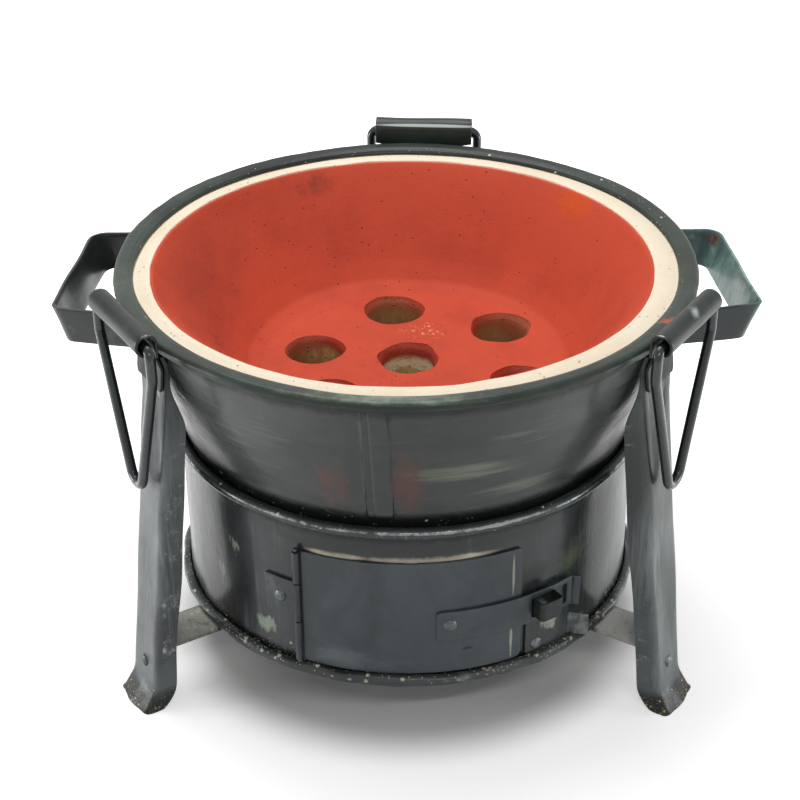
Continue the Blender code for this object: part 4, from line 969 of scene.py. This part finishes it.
through = np.array([0.0005, 0.0025, 0.0050])[:, None]
carve(hasp, skin("slot_cutter", xyz(slot[:, 0], through, slot[:, 1])))
x, y, z = wrap(hasp, HASP[0])
off_line = np.abs(z - HASP_Z)
by_slot = bump(off_line, 0.0062, 0.0008) * (np.abs(x - (one + two) / 2) < 0.012)
rim = np.maximum.reduce([step(off_line, 0.0078, 0.0090), step(x, flat_long, flat_long + 0.002), by_slot])
dress(hasp, door_paint, "door_hasp", body="door", edge=rim * 0.6)

# %% Staple: its loop, foot and bent-out end
def bent_strip(name, line, bottom, top, bend):
    """A strip of sheet bent along a line seen from above, with its height along z."""
    x, y = fillet(line, bend, 4, 0.0015).T
    return ribbon(name, xyz(x, y, (bottom + top) / 2), (0, 0, 1), top - bottom, SHEET, fine=7)


FOOT, LOOP = (299.3, 313.0), 304
foot = flat_plate("staple_foot", *FOOT, 0.0440, 0.0801, 0.0015)
wrap(foot, sum(FOOT) / 2)
out, across = (unit(polar(1, azimuth) - AXIS)[:2] for azimuth in (LOOP, LOOP + 90))
corners = ((0.1219, -0.0064), (0.1314, -0.0064), (0.1314, 0.0064), (0.1219, 0.0064))
loop_line = [AXIS[:2] + out * r + across * t for r, t in corners]
loop = bent_strip("staple_loop", loop_line, 0.0685, 0.0795, 0.0018)
root, knee = (polar(0.1224, azimuth)[:2] for azimuth in (312.4, 313.2))
far_end = knee + (polar(0.0105, 346) - AXIS)[:2]
tab = bent_strip("staple_tab", [root, knee, far_end], 0.0445, 0.0580, 0.001)
for piece, paint in ((foot, drum_paint), (loop, clip_paint), (tab, rivet_steel)):
    dress(piece, paint, "hasp_staple", edge=0.30)

# %% [markdown]
# ## Legs
# Each leg is a strip folded into a channel, open towards the stove, with a toe that was beaten
# outwards. The section is one line with two rounded corners, given a thickness on both sides. It
# travels along the leg while its flanges change depth. One leg is worked out looking along the
# radius, and then stands at three azimuths with different dents.

# %% One folded leg
AZIMUTHS = {"rear": 86.0, "front_left": 211.0, "front_right": 327.5}
KINK_Z, TOP_Z, LEAN = 0.202, 0.209, 0.0210 / 0.190
KINK = cone_at(KINK_Z, 0.0023)
ANKLE = KINK + 0.021


def stand(obj, azimuth):
    """x is the distance from the stove's axis, y goes round to the left of it, z is the height.
    Gives x, y and z as they were before the turn."""
    x, y, z = points_of(obj).T
    c, s = math.cos(math.radians(azimuth)), math.sin(math.radians(azimuth))
    move(obj, xyz(c * x - s * y, s * x + c * y, z) + AXIS)
    return x, y, z


def web_at(z, inward=0.0):
    """Radius of the leg's outer face at height z, below the kink."""
    return KINK + LEAN * (KINK_Z - z) - inward * math.hypot(1, LEAN)


def leg_skin(name, seed, sheet=0.002, wide=0.030, corner=0.0034):
    """The middle line of the section goes flange, web, flange; normals to it give both faces."""
    line = fillet([(ANKLE + 0.0087, 0.0), (ANKLE, 0.012), (KINK, KINK_Z), (cone_at(TOP_Z, 0.0023), TOP_Z)],
                  [0, 0.014, 0.02, 0], 8, 0.0025)
    z = line[:, 1]
    depth = 0.0120 - 0.0096 * step(z, 0.165, 0.196) - 0.0035 * step(z, 0.014, 0.002)
    depth = depth + 0.0005 * wander(z * 900, seed, 2, 9) * step(z, 0.190, 0.150)
    half = (wide - sheet) / 2 + 0.001 * step(z, 0.012, 0.0) - 0.001 * step(z, 0.196, 0.206)
    rows = []
    for w, d in zip(half, depth):
        middle = fillet([(-w, -d), (-w, -sheet / 2), (w, -sheet / 2), (w, -d)], corner, 6)
        web = xyz(np.linspace(middle[7, 0], middle[8, 0], 12)[1:-1], -sheet / 2)
        rows.append(np.vstack([middle[:8], web, middle[8:]]))
    middle = np.stack(rows)
    along = unit(np.gradient(middle, axis=1))
    normal = xyz(-along[..., 1], along[..., 0]) * sheet / 2
    tip = along * sheet * 0.3
    ring = [middle + normal, middle[:, -1:] + tip[:, -1:]]
    ring += [(middle - normal)[:, ::-1], middle[:, :1] - tip[:, :1]]
    t, n = np.moveaxis(np.concatenate(ring, 1), -1, 0)
    z, half = z[:, None], half[:, None]
    n = n + 0.00035 * ripple(t * 4000, z, seed + 1, 5, 120) * step(z, 0.200, 0.180)
    n = n + (0.0009 * np.cos(t / half * 4) - 0.0003) * step(z, 0.014, 0.0)
    out = normals(line)
    grid = xyz(line[:, :1] + n * out[:, :1], t, np.maximum(z + n * out[:, 1:], 0))
    count = middle.shape[1]
    cap = [(i, i + 1, 2 * count - i - 1, 2 * count - i) for i in range(count - 1)]
    cap += [(count - 1, count, count + 1), (0, 2 * count, 2 * count + 1)]
    return skin(name, grid, caps=cap, sharp=50), half.max()


for leg_name, azimuth in AZIMUTHS.items():
    leg, half = leg_skin(f"folded_leg_{leg_name}", 60 + int(azimuth))
    x, y, z = stand(leg, azimuth)
    fold_line = bump(np.abs(y), half, 0.0022) * (x > 0.1)
    # The top of each leg, under the clip, is darkened as painted shade, and the toe is darker towards the
    # floor.
    dress(leg, leg_paint, f"leg_{leg_name}", "worn_paint", edge=np.clip(0.62 * fold_line + 0.10, 0, 1),
          grime=0.75 * step(z, 0.172, 0.204) + 0.9 * step(z, 0.018, 0.004), dirt=0.55 * step(z, 0.014, 0.002))

# %% [markdown]
# ## Straps, clips and pot rests
# A strap under the bottom plate is bent down inside each leg. On top of each leg a clip steps out
# round the hoop and rolls into a sleeve. A bent rod hangs in the sleeve and swings up over the
# bowl to carry a pot. Straps and clips are ribbons along a bent line; the rods are round tubes.

# %% Straps from the bottom plate
strap_line = fillet([(web_at(z, 0.0023), z) for z in (0.016, 0.0372)] + [(0.090, 0.0372)], 0.004, 6, 0.002)
x, z = (strap_line - normals(strap_line) * 0.001).T
strap_path = xyz(x, 0, z)
for leg_name, azimuth in AZIMUTHS.items():
    seed = int(azimuth)
    strap = ribbon(f"foot_strap_{leg_name}", strap_path, (0, 1, 0), 0.025, 0.002, 0.0007, fine=11,
                   lift=lambda t, x: -0.00025 * (1 + ripple(x * 3000, t * 0.1, seed, 5, 90)) / 2)
    x, y, z = stand(strap, azimuth)
    # Painted shade along both edges and where the strap runs in under the bottom plate.
    dress(strap, strap_metal, f"base_strap_{leg_name}", "dull_steel",
          edge=step(np.abs(y), 0.0110, 0.0125) * 0.5, dirt=0.35 * step(x, 0.125, 0.145),
          grime=0.5 * bump(np.abs(y), 0.0125, 0.0012) + 0.4 * step(x, 0.130, 0.122))

# %% Clips with their sleeves
SLEEVE_R, SLEEVE_Z = 0.158, 0.2255
roll_line = arc((SLEEVE_R, SLEEVE_Z), 0.0058, 180, -122, 26)
tail = fillet([(web_at(0.190, -0.0003), 0.190), (cone_at(KINK_Z, 0.0026), KINK_Z),
               (cone_at(TOP_Z, 0.0026), TOP_Z), (0.1522, 0.2122), roll_line[0]], [0, .006, .002, .003, 0], 5)
clip_line = spaced(np.vstack([tail, roll_line[1:]]), 0.0012)
clip_line = clip_line + 0.00075 * normals(clip_line)
x, z = clip_line.T
clip_path = xyz(x, 0, z)
on_roll = np.cumsum(np.linalg.norm(np.diff(clip_line, axis=0, prepend=clip_line[:1]), axis=1))
shoulder = on_roll[np.argmin(np.abs(z - 0.217) + (x > 0.155))]
wider = step(on_roll, shoulder - 0.0008, shoulder + 0.0009)
clip_width = 0.028 + 0.028 * wider - 0.002 * step(on_roll, 0.0025, 0.0)
for leg_name, azimuth in AZIMUTHS.items():
    seed = int(azimuth) + 3
    clip = ribbon(f"rest_clip_{leg_name}", clip_path, (0, 1, 0), clip_width, 0.0015, 0.00045, fine=25,
                  lift=lambda t, x: 0.00022 * ripple(x * 2500, t * 0.15, seed, 5, 80) * step(t, 0.35, 0.55))
    x, y, z = stand(clip, azimuth)
    # Painted shade on the clip below the hoop.
    dress(clip, clip_paint, f"pot_rest_clip_{leg_name}",
          edge=step(np.abs(y), 0.025, 0.028) * 0.6 + 0.25 * bump(z, 0.2312, 0.0012),
          grime=0.7 * step(z, 0.217, 0.210))

# %% Pot rest rods
WIRE, ROD_Z = 0.0026, 0.2241


def rod_line(length=0.092, wire=WIRE, half=0.031, straight=0.016, tip=0.0075):
    """Half of the rod: along the sleeve, down, slanting in to touch the tip circle; then mirrored."""
    low = -(length - wire - tip)
    reach = np.array([half, -straight - low])
    angle = math.degrees(math.atan2(reach[1], reach[0]) - math.acos(tip / np.linalg.norm(reach)))
    tip_arc = arc((0, low), tip, angle, -180 - angle, 16)
    right = fillet([(0, 0), (half, 0), (half, -straight), tip_arc[0]], 0.005, 7)
    left = (right * (-1, 1))[::-1][:-1]
    return spaced(np.vstack([right, tip_arc[1:-1], left]), 0.003, closed=True)


across, down = rod_line().T
for leg_name, azimuth in AZIMUTHS.items():
    path = xyz(SLEEVE_R, across, down + ROD_Z)
    rod = tube(f"rest_rod_{leg_name}", path, WIRE, 18, 0.015, int(azimuth))
    stand(rod, azimuth)
    dress(rod, rod_steel, f"pot_rest_rod_{leg_name}", "dark_iron", f"pot_rest_{leg_name}")

# %% [markdown]
# ## Handles and rivets
# The side handles are flat straps bent in plan, leaning in as the cone does so that their feet
# lie flat on it. Rivets hold the whole stove together, so they are turned as real ones are: a
# domed head outside, a shank through the sheets and a small hammered tail inside.

# %% Side handles
HANDLE_Z = 0.197
handle_r = cone_at(HANDLE_Z + 0.010, 0.0003) + 0.0009
feet = (polar(handle_r, [338.7, 341.7, 344.7, 23.5, 26.5, 29.5]) - AXIS)[:, :2]
spots = np.vstack([feet[:3], [(0.180, -0.0295), (0.1705, 0.0575)], feet[3:]])
for side, sign, paint in (("right", 1, right_handle_paint), ("left", -1, handle_paint)):
    flat = fillet(spots, [0, .02, .004, .005, .009, .005, .02, 0], 8, 0.0025) * (sign, 1)
    out = unit(flat)
    path = np.column_stack([flat - out * SLOPE * 0.010, np.full(len(flat), HANDLE_Z)]) + AXIS
    across = np.column_stack([out * SLOPE, np.ones(len(out))])

    def buckle(t, x):
        return 0.00035 * ripple(t * 360, x * 2, 90 + sign, 7, 90) * step(np.abs(t - 0.5), 0.36, 0.28)

    width = 0.020 * math.hypot(1, SLOPE)
    handle = ribbon(f"strap_handle_{side}", path, across, width, 0.0018, 0.0006, buckle)
    z = places(handle)[2]
    dress(handle, paint, f"side_handle_{side}", "worn_paint",
          edge=np.maximum(step(z, 0.2045, 0.2068), step(z, 0.1900, 0.1873)) * 0.55)

# %% Rivets
def rivet(name, radius, height, tilt, azimuth, grip, body="stove"):
    """Head radius 3.5 mm, shank 2 mm, tail 3 mm. The head is a slightly flattened dome."""
    bow = np.linspace(0, 1.45, 9)
    fall = math.cos(bow[-1])
    dome = xyz(3.5 * np.sin(bow) / math.sin(bow[-1]), 1.6 * (np.cos(bow) - fall) / (1 - fall))
    end = -grip / MM - 0.5
    rest = fillet([(3.5, 0.0), (2.0, 0.0), (2.0, end), (3.0, end), (2.6, end - 1.2), (0.01, end - 1.2)],
                  [0, 0.1, 0.1, 0.3, 0.6, 0], 3)
    outline = np.vstack([dome[:-1] + [0.01, 0], rest]) * MM
    level = polar(math.cos(tilt), azimuth, math.sin(tilt)) - AXIS
    made = solid_round(name + "_dome", outline, polar(radius, azimuth, height), level, 28)
    dress(made, rivet_steel, name, None, body, edge=0.35)


cone_tilt, leg_tilt, face = -math.atan(SLOPE), math.atan(LEAN), 0.123
for leg_name, azimuth in AZIMUTHS.items():
    rivet(f"leg_top_rivet_{leg_name}", cone_at(0.205, 0.0041), 0.205, cone_tilt, azimuth, 0.0053)
    rivet(f"leg_foot_rivet_{leg_name}", web_at(0.024), 0.024, leg_tilt, azimuth, 0.0043)
    rivet(f"base_rivet_{leg_name}", 0.104, 0.0387, math.pi / 2, azimuth, 0.0035)
handle_face = cone_at(HANDLE_Z, 0.0003) + 0.0018
ends = {"right_front": 341.22, "right_rear": 26.98, "left_front": 198.78, "left_rear": 153.02}
for end_name, azimuth in ends.items():
    rivet(f"handle_rivet_{end_name}", handle_face, HANDLE_Z, cone_tilt, azimuth, 0.0032)
rivet("hinge_strap_rivet", face, 0.081, 0.0, 238.2, 0.0027)
rivet("hasp_rivet", face + 0.0018, 0.075, 0.0, 279.7, 0.0030, "door")
rivet("staple_rivet", face, 0.049, 0.0, 302.5, 0.0027)

# %% [markdown]
# ## Floor, light and background
# The photograph is a plain white studio shot: two large soft lamps stand left and right and put
# a tall pale streak on each side of the dark body, and the front stays dark. A wide lamp above
# fills the bowl, and a narrow one in front of it draws thin lines of light along the hoop. The
# floor is white as the camera sees it but keeps the shadow, and its glow fades out close to the
# stove, which paints a darker shadow under it. The background is white to the camera and to
# reflections, and a weaker grey as light, so that it doesn't wash out the paint.

# %% Floor
def is_seen(tree):
    """1 where the camera, a mirror or a clear surface looks, 0 for light that falls on things."""
    path = node(tree, "LightPath").outputs
    camera_ray, glossy_ray, clear_ray = (Value(path[f"Is {kind} Ray"])
                                         for kind in ("Camera", "Glossy", "Transmission"))
    return larger(larger(camera_ray, glossy_ray), clear_ray)


floor_material, tree, shader, where = start("white_floor", 0.0)
paper = mix(ramp(noise(where, 3.0, 3.0), 0.3, 0.7), (248, 248, 247), (252, 252, 251))
feed(mix(is_seen(tree), (150, 150, 150), paper), shader["Base Color"])
feed(0.9, shader["Roughness"])
away = vector("DISTANCE", where, tuple(AXIS), "Value")
# Nothing glows within 112 mm of the axis and the glow grows further out, so the floor round the stove's foot
# stays dark: a painted shadow added to the lamps' own.
glow_and_painted_shadow = ramp(away, 0.112, 0.150) * 0.50 + ramp(away, 0.19, 0.45) * 0.5
feed((1, 1, 1, 1), shader["Emission Color"])
feed(glow_and_painted_shadow * is_seen(tree), shader["Emission Strength"])
mesh = bpy.data.meshes.new("floor")
mesh.from_pydata([(-3, -3, 0), (3, -3, 0), (3, 3, 0), (-3, 3, 0)], [], [(0, 1, 2, 3)])
floor = link("floor", mesh)
mesh.materials.append(floor_material)
floor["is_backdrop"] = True
print(floor.name, floor_material.name)

# %% World
world = bpy.data.worlds.new("studio")
bpy.context.scene.world = world
world.use_nodes = True
tree = world.node_tree
tree.nodes.clear()
light, white = (value(tree, "Background", {0: (1, 1, 1, 1), 1: strength}) for strength in (0.18, 1.0))
shown = value(tree, "MixShader", {0: is_seen(tree), 1: light, 2: white})
node(tree, "OutputWorld", {0: shown})
print("world:", world.name)


# %% Lamps
def lamp(name, spot, look_at, width, height, power):
    """A soft rectangular lamp that faces a point on the stove."""
    data = bpy.data.lights.new(name, "AREA")
    data.shape, data.size, data.size_y, data.energy = "RECTANGLE", width, height, power
    link(name, data).matrix_world = facing(np.array(spot), np.array((0, 0, look_at)))


lamp("left_lamp", (-1.10, -0.08, 0.13), 0.10, 0.5, 0.42, 6.6)
lamp("right_lamp", (1.10, -0.10, 0.12), 0.10, 0.5, 0.36, 4.8)
lamp("top_lamp", (-0.15, 0.25, 1.25), 0.15, 0.8, 0.8, 11.5)
lamp("strip_lamp", (0.15, -0.95, 0.95), 0.12, 0.8, 0.04, 2.2)

# %% [markdown]
# ## Every solid in view has its finish
# The solids that still show, such as the wires and the hinge pin, get the same finishes as the
# skins round them. The last lines note how far the finished stove reaches, to compare with the
# plain solids.

# %% Last finishes and sizes
for name, obj in nodes.items():
    steel = rivet_steel if "rivet" in name else clip_paint
    obj.data.materials.clear()
    obj.data.materials.append(rod_steel if "wire" in name or "pin" in name else steel)
view_settings = bpy.context.scene.view_settings
view_settings.view_transform = "Standard"
new_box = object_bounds()
grown = [1000 * (b - a) for pair in zip(cad_box, new_box) for a, b in zip(*pair)]
print("box grows by, in mm:", [round(v, 2) for v in grown])
